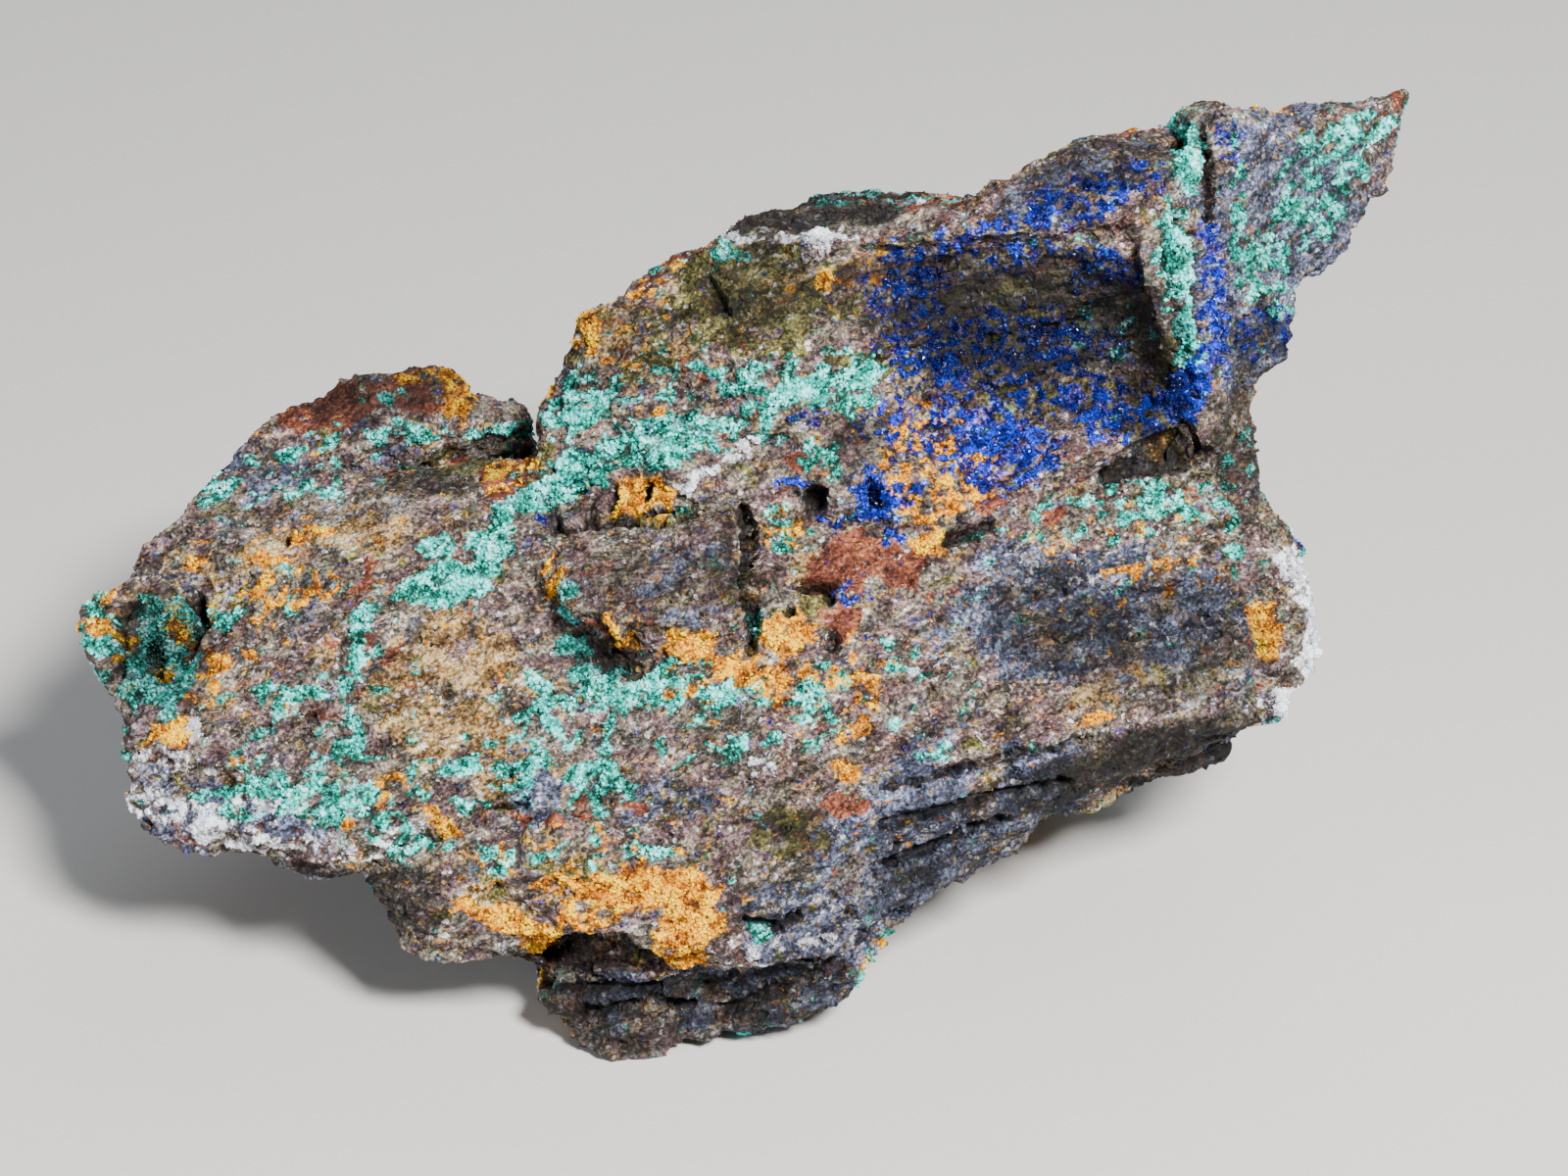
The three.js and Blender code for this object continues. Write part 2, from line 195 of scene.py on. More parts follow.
@dataclass(frozen=True)
class Eye:
    """The camera: where it stands, and which pixel of the 1600 by 1200 picture shows a point.

    What lies cover_depth behind the nearest point of its block of pixels starts to be hidden. edge_on
    holds the cosines of the slants at which a face starts to be seen and is fully seen.
    """

    lean: float = math.radians(30)
    distance: float = 420 * MM
    axis_height: float = 40 * MM
    foot: tuple[float, float, float] = (2.474 * MM, -32.364 * MM, 0.0)
    pixel: float = 0.085 * MM
    width: int = 1600
    height: int = 1200
    sensor: float = 36.0
    block: float = 12.0
    cover_depth: float = 4 * MM
    edge_on: tuple[float, float] = (-0.15, 0.05)
    clip: tuple[float, float] = (0.01, 10.0)

    @property
    def up(self) -> np.ndarray:
        """The direction that is up in the picture."""
        return np.array([0.0, math.sin(self.lean), math.cos(self.lean)])

    @property
    def out(self) -> np.ndarray:
        """The direction from the stone to the camera."""
        return np.array([0.0, -math.cos(self.lean), math.sin(self.lean)])

    @property
    def place(self) -> np.ndarray:
        """Where the camera stands."""
        return np.array(self.foot) + self.up * self.axis_height + self.out * self.distance

    def pixels_of(self, points: np.ndarray) -> tuple[np.ndarray, np.ndarray, np.ndarray]:
        """Find where the picture shows points.

        Args:
            points: One row of X, Y and Z for each point, in metres.

        Returns:
            The pixels across and down, and the distance in front of the camera.
        """
        offset = points - self.place
        depth = -offset @ self.out
        scale = self.distance / self.pixel / depth
        return self.width / 2 + offset[:, 0] * scale, self.height / 2 - offset @ self.up * scale, depth

    def sees(self, points: np.ndarray, normals: np.ndarray) -> np.ndarray:
        """Find how well the camera sees each point of a surface.

        Args:
            points: One row of X, Y and Z for each point, in metres.
            normals: The surface's outward direction at each point.

        Returns:
            A number from 0, hidden or edge on, to 1, for each point.
        """
        across, down, depth = self.pixels_of(points)
        column = np.clip(across / self.block, 0, self.width / self.block).astype(int)
        row = np.clip(down / self.block, 0, self.height / self.block).astype(int)
        nearest = np.full((row.max() + 1, column.max() + 1), np.inf)
        np.minimum.at(nearest, (row, column), depth)
        towards = self.place - points
        towards /= np.linalg.norm(towards, axis=1, keepdims=True)
        facing = smooth(np.sum(towards * normals, axis=1), *self.edge_on)
        return facing * smooth(depth - nearest[row, column], 2.0 * self.cover_depth, self.cover_depth)

    def make(self) -> None:
        """Make the camera and use it for the scene."""
        camera = bpy.data.objects.new("camera", bpy.data.cameras.new("camera"))
        bpy.context.scene.collection.objects.link(camera)
        camera.location = Vector(self.place)
        camera.rotation_euler = Vector(-self.out).to_track_quat("-Z", "Y").to_euler()
        camera.data.sensor_width = self.sensor
        camera.data.lens = self.sensor * self.distance / (self.width * self.pixel)
        camera.data.clip_start, camera.data.clip_end = self.clip
        bpy.context.scene.camera = camera


@dataclass(frozen=True)
class Oval:
    """An oval place on the visible side, in pixels of the 1600 by 1200 picture.

    tilt is how far it rises to the right, in degrees. share is how much of it the mineral takes, or
    for a pit or knob how deep or high it is, in millimetres. FADE is where it ends and where it is
    full, in half-sizes.
    """

    FADE = (1.3, 0.7)

    x: float
    y: float
    half_width: float
    half_height: float
    tilt: float = 0.0
    share: float = 1.0

    def nearness(self, x: np.ndarray, y: np.ndarray) -> np.ndarray:
        """How far inside the oval pixels are.

        Args:
            x: The pixels across.
            y: The pixels down.

        Returns:
            1 well inside, 0 well outside and in between near the rim.
        """
        turn = math.radians(self.tilt)
        right, down = x - self.x, y - self.y
        along = right * math.cos(turn) - down * math.sin(turn)
        across = right * math.sin(turn) + down * math.cos(turn)
        return smooth(np.hypot(along / self.half_width, across / self.half_height), *self.FADE)


def cover(table: dict[str, Oval], x: np.ndarray, y: np.ndarray) -> np.ndarray:
    """Lay a mineral's ovals over each other.

    Args:
        table: The ovals, by the name of the place.
        x: The pixels across.
        y: The pixels down.

    Returns:
        The share of the surface that the mineral takes at each pixel.
    """
    bare = np.ones(len(x))
    for oval in table.values():
        bare *= 1.0 - oval.share * oval.nearness(x, y)
    return 1.0 - bare


MALACHITE = {
    "vug roof": Oval(172, 626, 34, 24, 0, 0.9),
    "vug floor": Oval(160, 684, 38, 46, 0, 0.95),
    "vug rim": Oval(102, 645, 20, 44, 0, 0.65),
    "right of the vug": Oval(226, 632, 36, 14, 0, 0.5),
    "upper left fringe": Oval(214, 500, 36, 13, 32, 0.7),
    "upper left streak": Oval(300, 503, 56, 8, 6, 0.35),
    "back ridge band": Oval(450, 441, 98, 7, 0, 0.8),
    "back ridge spot": Oval(403, 408, 14, 9, 20, 0.9),
    "back ridge speck": Oval(372, 405, 7, 15, 0, 0.7),
    "back slope specks": Oval(320, 462, 60, 14, 10, 0.3),
    "face crust": Oval(452, 600, 46, 24, 10, 0.95),
    "face crust arm": Oval(502, 560, 20, 38, -25, 0.9),
    "face crust top": Oval(446, 557, 22, 13, 0, 0.7),
    "chunk's corner": Oval(532, 514, 40, 11, 16, 0.85),
    "face drop": Oval(368, 640, 20, 12, 50, 0.8),
    "face tongue": Oval(357, 688, 14, 24, -20, 0.9),
    "face streak": Oval(302, 706, 42, 8, -4, 0.8),
    "face streak end": Oval(288, 724, 8, 14, 0, 0.7),
    "face thread": Oval(366, 748, 7, 26, 0, 0.5),
    "lower face smear": Oval(282, 800, 40, 12, 0, 0.5),
    "lower face knot": Oval(346, 812, 32, 22, 0, 0.7),
    "lower face island": Oval(463, 787, 20, 12, 0, 0.85),
    "lower face chain": Oval(540, 785, 30, 9, 0, 0.7),
    "lower face line": Oval(490, 820, 54, 6, 4, 0.5),
    "lower face pool": Oval(608, 790, 36, 17, 0, 0.85),
    "lower edge mint": Oval(400, 852, 40, 26, 0, 0.4),
    "lower edge island": Oval(503, 880, 26, 14, 0, 0.75),
    "lower edge band": Oval(648, 870, 56, 9, 4, 0.5),
    "steep vein": Oval(566, 733, 42, 8, -62, 0.9),
    "slanting vein": Oval(552, 698, 42, 8, -38, 0.9),
    "left of the cavity": Oval(586, 650, 13, 36, 20, 0.85),
    "under the cavity": Oval(606, 694, 30, 18, 0, 0.8),
    "below the cavity": Oval(650, 706, 46, 14, 10, 0.85),
    "below the ochre": Oval(700, 682, 34, 13, 8, 0.8),
    "middle band": Oval(738, 713, 56, 13, 2, 0.65),
    "middle band end": Oval(836, 706, 26, 30, 0, 0.6),
    "middle streak": Oval(746, 766, 30, 8, -25, 0.75),
    "foot spot": Oval(776, 953, 13, 8, 0, 1.0),
    "over the chunk": Oval(578, 492, 44, 14, 6, 0.95),
    "long band": Oval(668, 452, 100, 17, 15, 0.9),
    "left shoulder": Oval(592, 412, 44, 28, 0, 0.65),
    "block's middle": Oval(790, 394, 36, 18, 0, 0.75),
    "block's crust": Oval(850, 402, 44, 22, 6, 0.85),
    "yellow green": Oval(878, 373, 22, 14, -30, 0.95),
    "over the round pit": Oval(836, 468, 22, 24, 0, 0.8),
    "right of the slot": Oval(806, 536, 24, 28, 0, 0.45),
    "chunk's left": Oval(583, 600, 14, 12, 0, 0.8),
    "foot of the slot": Oval(769, 643, 8, 24, 0, 1.0),
    "right plate": Oval(1150, 522, 100, 30, 4, 0.36),
    "right plate top": Oval(1196, 510, 46, 22, 6, 0.5),
    "right plate edge": Oval(1262, 560, 12, 44, 0, 0.4),
    "right plate speck": Oval(1150, 600, 14, 8, 0, 0.5),
    "beside the crack": Oval(1030, 560, 40, 22, 0, 0.25),
    "slate's edge": Oval(912, 662, 8, 18, 0, 0.7),
    "step streak": Oval(955, 765, 34, 9, 16, 0.35),
    "block's top corner": Oval(745, 257, 20, 9, 0, 0.8),
    "top strip": Oval(865, 203, 38, 8, 0, 0.5),
    "wing's edge top": Oval(1212, 155, 15, 42, 4, 0.85),
    "wing's edge": Oval(1198, 262, 22, 62, 8, 0.9),
    "wing's edge low": Oval(1214, 345, 14, 44, 8, 0.7),
    "wing's streak": Oval(1264, 230, 9, 90, 0, 0.65),
    "wing": Oval(1345, 190, 42, 66, -20, 0.66),
    "wing's top": Oval(1392, 130, 26, 20, 10, 0.8),
    "wing's middle": Oval(1294, 275, 24, 54, 0, 0.6),
    "hollow's green": Oval(1120, 345, 44, 26, 0, 0.3),
    "neck": Oval(1264, 480, 14, 60, 0, 0.25),
    "left face's specks": Oval(300, 680, 130, 90, 0, 0.10),
    "lower face's specks": Oval(430, 800, 250, 44, 0, 0.24),
    "middle's specks": Oval(690, 730, 190, 44, 0, 0.22),
    "block's specks": Oval(690, 420, 170, 60, 12, 0.26),
    "lobe's specks": Oval(280, 815, 120, 26, 0, 0.35),
    "foot's specks": Oval(560, 870, 150, 26, 0, 0.20),
    "step's specks": Oval(930, 700, 60, 60, 0, 0.12),
    "back's specks": Oval(310, 480, 150, 40, 14, 0.08),
}

AZURITE = {
    "hollow's left": Oval(925, 292, 50, 42, 0, 0.58),
    "hollow's roof": Oval(1010, 268, 60, 22, 0, 0.42),
    "hollow's right": Oval(1125, 280, 40, 34, 0, 0.55),
    "hollow's middle": Oval(1000, 352, 115, 36, 4, 0.66),
    "hollow's corner": Oval(1115, 372, 40, 38, 0, 0.45),
    "hollow's lower middle": Oval(1040, 402, 100, 20, -4, 0.5),
    "hollow's floor": Oval(960, 436, 80, 34, -4, 0.60),
    "brightest floor": Oval(1022, 466, 60, 36, 10, 0.78),
    "floor's right": Oval(1146, 422, 46, 32, 10, 0.62),
    "under the hollow": Oval(905, 500, 46, 28, 0, 0.5),
    "crest": Oval(1110, 200, 84, 24, 20, 0.58),
    "crest's foot": Oval(1010, 228, 66, 9, 8, 0.55),
    "crest's end": Oval(940, 246, 50, 8, 0, 0.35),
    "wing's foot": Oval(1215, 395, 17, 52, -16, 1.0),
    "wing's blue": Oval(1240, 300, 11, 76, 4, 0.75),
    "wing's low corner": Oval(1292, 338, 36, 32, 0, 0.5),
    "wing's high edge": Oval(1252, 140, 18, 28, 0, 0.35),
    "blue pit": Oval(894, 508, 20, 22, 0, 0.9),
    "left of the hollow": Oval(826, 428, 22, 9, 0, 0.7),
    "near the band": Oval(800, 492, 20, 7, 10, 0.7),
    "above the rust": Oval(862, 530, 30, 9, 0, 0.5),
    "below the rust": Oval(868, 607, 22, 13, 0, 0.55),
    "on the rust": Oval(914, 545, 10, 14, 0, 0.6),
    "far left speck": Oval(549, 530, 5, 5, 0, 0.9),
}

OCHRE = {
    "lip": Oval(650, 908, 58, 22, 0, 1.0),
    "lip's right": Oval(708, 925, 34, 34, 0, 1.0),
    "lip's drop": Oval(694, 964, 30, 24, -30, 0.9),
    "lip's left": Oval(600, 930, 34, 22, 0, 0.6),
    "foot's left": Oval(500, 933, 32, 13, -14, 1.0),
    "foot's edge": Oval(542, 952, 38, 16, -22, 0.95),
    "above the lip": Oval(560, 900, 46, 16, 0, 0.35),
    "cavity's mouth": Oval(706, 658, 26, 20, 0, 1.0),
    "slot's foot": Oval(746, 680, 30, 16, 0, 0.8),
    "middle": Oval(790, 690, 44, 16, 0, 0.65),
    "middle's right": Oval(866, 702, 40, 20, 0, 0.5),
    "hook": Oval(876, 745, 20, 10, 30, 0.85),
    "hook's end": Oval(862, 788, 16, 11, 0, 0.85),
    "stick": Oval(632, 650, 27, 6, -55, 1.0),
    "small streak": Oval(708, 707, 20, 6, 20, 0.8),
    "round the pit": Oval(656, 508, 31, 18, 0, 0.95),
    "chunk's left": Oval(562, 590, 13, 24, 0, 0.7),
    "right of the slot": Oval(801, 645, 24, 20, 0, 0.85),
    "below the band": Oval(796, 540, 24, 24, 0, 0.4),
    "on the azurite": Oval(950, 470, 48, 62, 0, 0.42),
    "on the azurite's right": Oval(988, 482, 30, 30, 0, 0.42),
    "orange": Oval(948, 556, 23, 17, 0, 0.95),
    "above the crack": Oval(985, 512, 30, 16, 20, 0.45),
    "right edge": Oval(1297, 641, 12, 26, 0, 1.0),
    "right face": Oval(1118, 736, 20, 7, 15, 0.95),
    "right plate": Oval(1185, 578, 52, 9, 6, 0.35),
    "left knob": Oval(198, 574, 11, 9, 0, 0.9),
    "left streak": Oval(272, 576, 22, 6, 8, 0.9),
    "left field": Oval(290, 603, 52, 20, 10, 0.5),
    "left spot": Oval(315, 549, 22, 7, 10, 0.9),
    "vug's top": Oval(105, 603, 17, 7, 0, 0.9),
    "vug's side": Oval(100, 640, 16, 12, 0, 0.75),
    "vug's middle": Oval(125, 660, 12, 14, 0, 0.75),
    "vug's knob": Oval(181, 633, 16, 16, 0, 0.85),
    "vug's low knob": Oval(164, 682, 18, 11, 0, 0.6),
    "beside the vug": Oval(222, 672, 16, 10, 0, 0.8),
    "beside the vug's right": Oval(255, 667, 11, 6, 0, 0.9),
    "below the vug": Oval(177, 752, 23, 15, 0, 0.85),
    "below the vug's right": Oval(222, 705, 14, 12, 0, 0.65),
    "lower left": Oval(240, 771, 11, 9, 0, 0.75),
    "lower knot": Oval(398, 803, 18, 15, 0, 0.65),
    "lower speck": Oval(350, 840, 9, 9, 0, 0.8),
    "brown tongue": Oval(447, 838, 25, 11, -20, 0.7),
    "notch": Oval(519, 488, 34, 14, 22, 0.45),
    "back ridge": Oval(468, 405, 17, 24, 0, 0.8),
    "back ridge top": Oval(430, 380, 34, 11, 0, 0.5),
    "block's edge": Oval(599, 340, 14, 26, 0, 0.9),
    "block's rim": Oval(666, 286, 46, 11, 30, 0.45),
    "hollow's spot": Oval(840, 283, 14, 12, 0, 0.9),
    "hollow's speck": Oval(803, 295, 8, 6, 0, 0.9),
    "hollow's streak": Oval(893, 275, 10, 15, 0, 0.55),
    "block's middle": Oval(666, 420, 20, 10, 0, 0.6),
    "left face's specks": Oval(210, 670, 110, 70, 0, 0.10),
    "tan face's specks": Oval(470, 700, 100, 80, 0, 0.06),
    "middle's specks": Oval(790, 690, 130, 60, 0, 0.16),
    "block's specks": Oval(650, 350, 70, 50, 14, 0.12),
    "back's specks": Oval(300, 560, 130, 30, 8, 0.08),
    "hollow's specks": Oval(900, 290, 70, 40, 0, 0.10),
    "foot's specks": Oval(620, 900, 150, 60, 0, 0.16),
    "right plate's specks": Oval(1150, 560, 110, 60, 0, 0.10),
}

RUST = {
    "red field": Oval(868, 572, 50, 27, 18, 1.0),
    "red field's right": Oval(918, 580, 26, 20, 20, 0.9),
    "red island": Oval(856, 633, 20, 16, 0, 1.0),
    "red speck": Oval(807, 474, 16, 9, 10, 0.8),
    "under the hollow": Oval(1014, 514, 15, 13, 0, 0.9),
    "right plate": Oval(1075, 524, 13, 13, 0, 0.9),
    "right plate's end": Oval(1224, 497, 13, 7, 0, 0.6),
    "step": Oval(862, 822, 27, 15, 8, 0.9),
    "step's top": Oval(857, 778, 13, 8, 0, 0.7),
    "back ridge": Oval(345, 414, 60, 20, 16, 1.0),
    "back ridge's right": Oval(430, 400, 44, 24, 0, 0.6),
    "notch": Oval(519, 488, 36, 16, 22, 1.0),
    "tip": Oval(1424, 116, 13, 30, -10, 0.3),
    "block's middle": Oval(708, 375, 17, 12, 0, 0.55),
    "block's rim": Oval(665, 298, 15, 8, 20, 0.7),
    "top strip": Oval(930, 206, 66, 12, 4, 0.4),
    "above the foot": Oval(590, 830, 90, 14, 4, 0.35),
    "face": Oval(380, 640, 60, 60, 0, 0.16),
}

QUARTZ = {
    "lobe's top": Oval(155, 776, 34, 10, 0, 0.35),
    "lobe": Oval(185, 830, 64, 17, -14, 0.62),
    "lobe's right": Oval(290, 820, 66, 11, 0, 0.45),
    "lobe's edge": Oval(235, 850, 54, 13, -20, 0.5),
    "lobe's foot": Oval(320, 868, 62, 11, -5, 0.4),
    "lobe's end": Oval(404, 850, 28, 24, 0, 0.3),
    "lobe's specks": Oval(220, 800, 110, 40, 0, 0.15),
    "right plate's specks": Oval(1120, 550, 120, 50, 0, 0.12),
    "foot's specks": Oval(820, 930, 90, 50, 20, 0.06),
    "above the lobe": Oval(198, 748, 9, 17, 0, 0.8),
    "right rim's top": Oval(1322, 588, 13, 34, 20, 0.9),
    "right rim": Oval(1335, 655, 11, 60, 0, 1.0),
    "right rim's foot": Oval(1314, 713, 25, 13, 10, 0.95),
    "top band": Oval(832, 246, 44, 6, 0, 0.95),
    "top band's left": Oval(762, 240, 48, 4, 0, 0.5),
    "streak": Oval(757, 459, 22, 9, 30, 0.75),
    "streak's left": Oval(712, 489, 28, 9, 25, 0.75),
    "foot": Oval(750, 974, 24, 16, 0, 0.35),
    "foot's band": Oval(806, 968, 46, 9, 16, 0.3),
    "foot's right": Oval(856, 950, 34, 9, 24, 0.2),
    "slate's left": Oval(950, 680, 28, 18, 0, 0.25),
    "small": Oval(776, 788, 13, 8, 0, 0.5),
}

# Painted shade mixed with darker tone of the rock: the colour is darkened where the stone lies in shade
# (the hollow and its roof, the slit, the undersides, the toe, the vug, the cavity, the step's layers, the
# top strip and crest), and on darker rock such as the slate and the right face.
DARK = {
    "hollow's left": Oval(925, 300, 76, 44, 0, 0.55),
    "hollow": Oval(1040, 335, 130, 56, 0, 0.82),
    "hollow's lower middle": Oval(1050, 400, 110, 24, -4, 0.35),
    "back ridge's ochre": Oval(468, 405, 17, 24, 0, 0.3),
    "hollow's roof": Oval(1110, 300, 66, 42, 0, 0.6),
    "hollow's right": Oval(1172, 385, 38, 84, 14, 0.6),
    "slate": Oval(1076, 630, 76, 50, -6, 0.44),
    "right face": Oval(1175, 650, 115, 62, 6, 0.42),
    "underside": Oval(1180, 776, 126, 32, 14, 1.0),
    "underside's left": Oval(1090, 800, 60, 26, 20, 0.8),
    "toe": Oval(690, 1040, 130, 36, 6, 0.5),
    "toe's left": Oval(580, 1000, 66, 42, -10, 0.55),
    "toe's right": Oval(810, 1010, 80, 28, 12, 0.45),
    "foot's corner": Oval(415, 920, 44, 28, 0, 0.6),
    "foot's right": Oval(830, 925, 90, 60, 20, 0.2),
    "cavity": Oval(614, 668, 40, 22, -8, 0.5),
    "above the step": Oval(806, 850, 42, 28, 0, 0.45),
    "grey facet": Oval(878, 446, 32, 20, 0, 0.35),
    "olive corner": Oval(775, 295, 66, 50, 0, 0.55),
    "block": Oval(640, 360, 90, 40, 14, 0.22),
    "chunk": Oval(664, 596, 98, 36, 6, 0.32),
    "chunk's right": Oval(738, 580, 20, 56, 0, 0.35),
    "lobe's underside": Oval(330, 893, 90, 8, -4, 0.8),
    "step's layers": Oval(980, 850, 90, 44, 20, 0.38),
    "step's end": Oval(930, 900, 44, 28, 24, 0.5),
    "neck": Oval(1268, 440, 26, 80, 0, 0.38),
    "slit": Oval(1190, 470, 62, 11, 12, 0.9),
    "wing's foot": Oval(1296, 350, 44, 38, 0, 0.5),
    "wing": Oval(1330, 220, 80, 90, 0, 0.12),
    "top strip": Oval(830, 214, 110, 24, 6, 0.75),
    "crest": Oval(1110, 180, 90, 30, 18, 0.42),
    "back ridge": Oval(390, 395, 76, 34, 12, 0.5),
    "notch": Oval(460, 478, 80, 22, 10, 0.35),
    "vug": Oval(160, 665, 50, 64, 0, 0.55),
}

OLIVE = {
    "corner": Oval(775, 305, 84, 60, 0, 0.85),
    "hollow": Oval(1010, 330, 110, 50, 0, 0.5),
    "hollow's lower middle": Oval(1050, 402, 110, 24, -4, 0.6),
    "hollow's right": Oval(1178, 405, 38, 56, 0, 0.75),
    "yellow green": Oval(876, 374, 30, 20, -20, 0.8),
    "block": Oval(645, 350, 70, 50, 14, 0.45),
    "notch": Oval(500, 474, 66, 24, 8, 0.45),
    "above the step": Oval(806, 850, 44, 28, 0, 0.7),
    "vug": Oval(250, 606, 70, 20, 8, 0.4),
    "under the rust": Oval(830, 620, 40, 30, 0, 0.3),
    "foot": Oval(560, 905, 90, 30, 0, 0.35),
}

WARM = {
    "left face": Oval(470, 700, 96, 70, 0, 0.75),
    "left face's top": Oval(300, 560, 130, 24, 10, 0.6),
    "lower face": Oval(470, 780, 120, 40, 0, 0.5),
    "block": Oval(680, 330, 90, 40, 14, 0.45),
    "foot": Oval(560, 900, 110, 40, 0, 0.6),
    "olive": Oval(775, 290, 60, 40, 0, 0.8),
    "middle": Oval(800, 600, 70, 60, 0, 0.45),
    "right face": Oval(1130, 700, 120, 20, 10, 0.35),
}

COOL = {
    "step": Oval(960, 850, 150, 80, 20, 0.85),
    "foot's right": Oval(850, 950, 90, 60, 20, 0.9),
    "wing": Oval(1310, 250, 90, 150, 0, 0.95),
    "crest": Oval(1110, 190, 90, 34, 18, 0.5),
    "slate": Oval(1110, 630, 170, 70, 0, 0.8),
    "lobe": Oval(200, 830, 110, 40, -10, 0.5),
    "lower purple": Oval(620, 820, 160, 26, 0, 0.25),
    "back slope": Oval(320, 470, 140, 34, 8, 0.3),
    "chunk": Oval(690, 600, 70, 40, 0, 0.22),
    "toe": Oval(700, 1020, 150, 40, 0, 0.4),
}


@dataclass(frozen=True)
class Groove:
    """A crack or step along a line on the visible side, in pixels, and its depth in millimetres.

    FADE is where a crack ends and where it is full, and SLOPE the same for a step, in half-widths.
    EDGE is the same at the line of a step, in pixels.
    """

    FADE = (1.3, 0.5)
    SLOPE = (1.0, 0.1)
    EDGE = (0.0, 4.0)

    line: tuple[tuple[float, float], ...]
    half_width: float
    depth: float

    def sink(self, x: np.ndarray, y: np.ndarray) -> np.ndarray:
        """How deep the groove is at pixels.

        Args:
            x: The pixels across.
            y: The pixels down.

        Returns:
            The depth in millimetres, 0 outside the groove.
        """
        away, _ = self.away(x, y)
        return self.depth * smooth(away / self.half_width, *self.FADE)

    def step(self, x: np.ndarray, y: np.ndarray) -> np.ndarray:
        """How far the ground drops on the right of the line, as one walks along it.

        Args:
            x: The pixels across.
            y: The pixels down.

        Returns:
            The depth in millimetres, most at the line and 0 at half_width from it.
        """
        away, is_right = self.away(x, y)
        near = self.depth * is_right * smooth(away, *self.EDGE)
        return near * smooth(away / self.half_width, *self.SLOPE)

    def away(self, x: np.ndarray, y: np.ndarray) -> tuple[np.ndarray, np.ndarray]:
        """How far pixels are from the line, and whether they lie on its right side.

        Args:
            x: The pixels across.
            y: The pixels down.

        Returns:
            The distances, and a truth value for each pixel.
        """
        away = np.full(len(x), np.inf)
        is_right = np.zeros(len(x), dtype=bool)
        for (x0, y0), (x1, y1) in zip(self.line, self.line[1:]):
            along, down = x1 - x0, y1 - y0
            share = np.clip(((x - x0) * along + (y - y0) * down) / (along**2 + down**2), 0.0, 1.0)
            distance = np.hypot(x - x0 - share * along, y - y0 - share * down)
            is_nearer = distance < away
            away[is_nearer] = distance[is_nearer]
            is_right[is_nearer] = (along * (y - y0) - down * (x - x0))[is_nearer] > 0.0
        return away, is_right


GROOVES = {
    "slot beside the chunk": Groove(((758, 522), (766, 556), (761, 600), (768, 630), (766, 660)), 7, 2.2),
    "crack over the chunk": Groove(((559, 520), (571, 541), (613, 533), (674, 531), (712, 521)), 6.5, 1.6),
    "block's left crack": Groove(((558, 505), (564, 522), (569, 541)), 6, 1.4),
    "block's middle crack": Groove(((600, 508), (603, 532)), 6, 1.4),
    "block's right crack": Groove(((626, 500), (622, 530)), 6, 1.4),
    "cavity under the chunk": Groove(((590, 640), (598, 660), (620, 678), (650, 686)), 8, 1.2),
    "crescent in the vug": Groove(((199, 614), (205, 634), (194, 651)), 8, 1.9),
    "vug's fold": Groove(((130, 618), (121, 640), (127, 664), (122, 690)), 5, 1.1),
    "wing's crack": Groove(((1226, 138), (1233, 165), (1235, 222)), 5, 1.4),
    "edge crack": Groove(((1188, 250), (1200, 300), (1212, 345)), 5.5, 1.3),
    "edge crack's twin": Groove(((1216, 240), (1220, 290), (1224, 340)), 5, 1.1),
    "edge's upper crack": Groove(((1200, 170), (1196, 205), (1206, 236)), 5, 1.2),
    "edge's lower crack": Groove(((1200, 330), (1212, 366), (1220, 400)), 5, 1.2),
    "cavity's upper layer": Groove(((592, 634), (630, 642), (668, 640)), 5, 1.1),
    "cavity's lower layer": Groove(((600, 654), (640, 668), (678, 668)), 5, 1.1),
    "crack under the azurite": Groove(((968, 553), (986, 545), (1010, 536)), 7, 1.6),
    "band's crack": Groove(((657, 443), (680, 432), (701, 424)), 5, 1.1),
    "upper crack": Groove(((722, 286), (731, 300), (740, 316)), 5, 1.0),
    "lip's overhang": Groove(((535, 986), (578, 964), (628, 962), (668, 974)), 8, 2.0),
    "toe's first layer": Groove(((552, 1003), (628, 1006), (690, 1011), (730, 1004), (833, 984)), 6.5, 1.6),
    "toe's second layer": Groove(((596, 1032), (663, 1023), (706, 1023)), 5.5, 1.3),
    "toe's third layer": Groove(((739, 1029), (792, 1014), (840, 996)), 5.5, 1.3),
    "foot's crack": Groove(((760, 940), (798, 946), (815, 934)), 5.5, 1.3),
    "face crack": Groove(((425, 842), (440, 856), (471, 846), (500, 828), (538, 820)), 5, 1.1),
    "step's first layer": Groove(((905, 800), (980, 784), (1060, 762), (1110, 757)), 6, 1.3),
    "step's second layer": Groove(((900, 842), (960, 828), (1040, 808), (1090, 800)), 5.5, 1.2),
    "step's third layer": Groove(((905, 880), (960, 858), (1030, 836)), 5.5, 1.2),
    "right face crack": Groove(((1150, 650), (1210, 640), (1276, 628)), 4.5, 0.9),
    "rim's inner edge": Groove(((1284, 600), (1288, 640), (1290, 672), (1308, 688)), 6, 1.2),
    "block's dark slit": Groove(((1130, 488), (1180, 472), (1232, 464)), 9, 1.2),
}

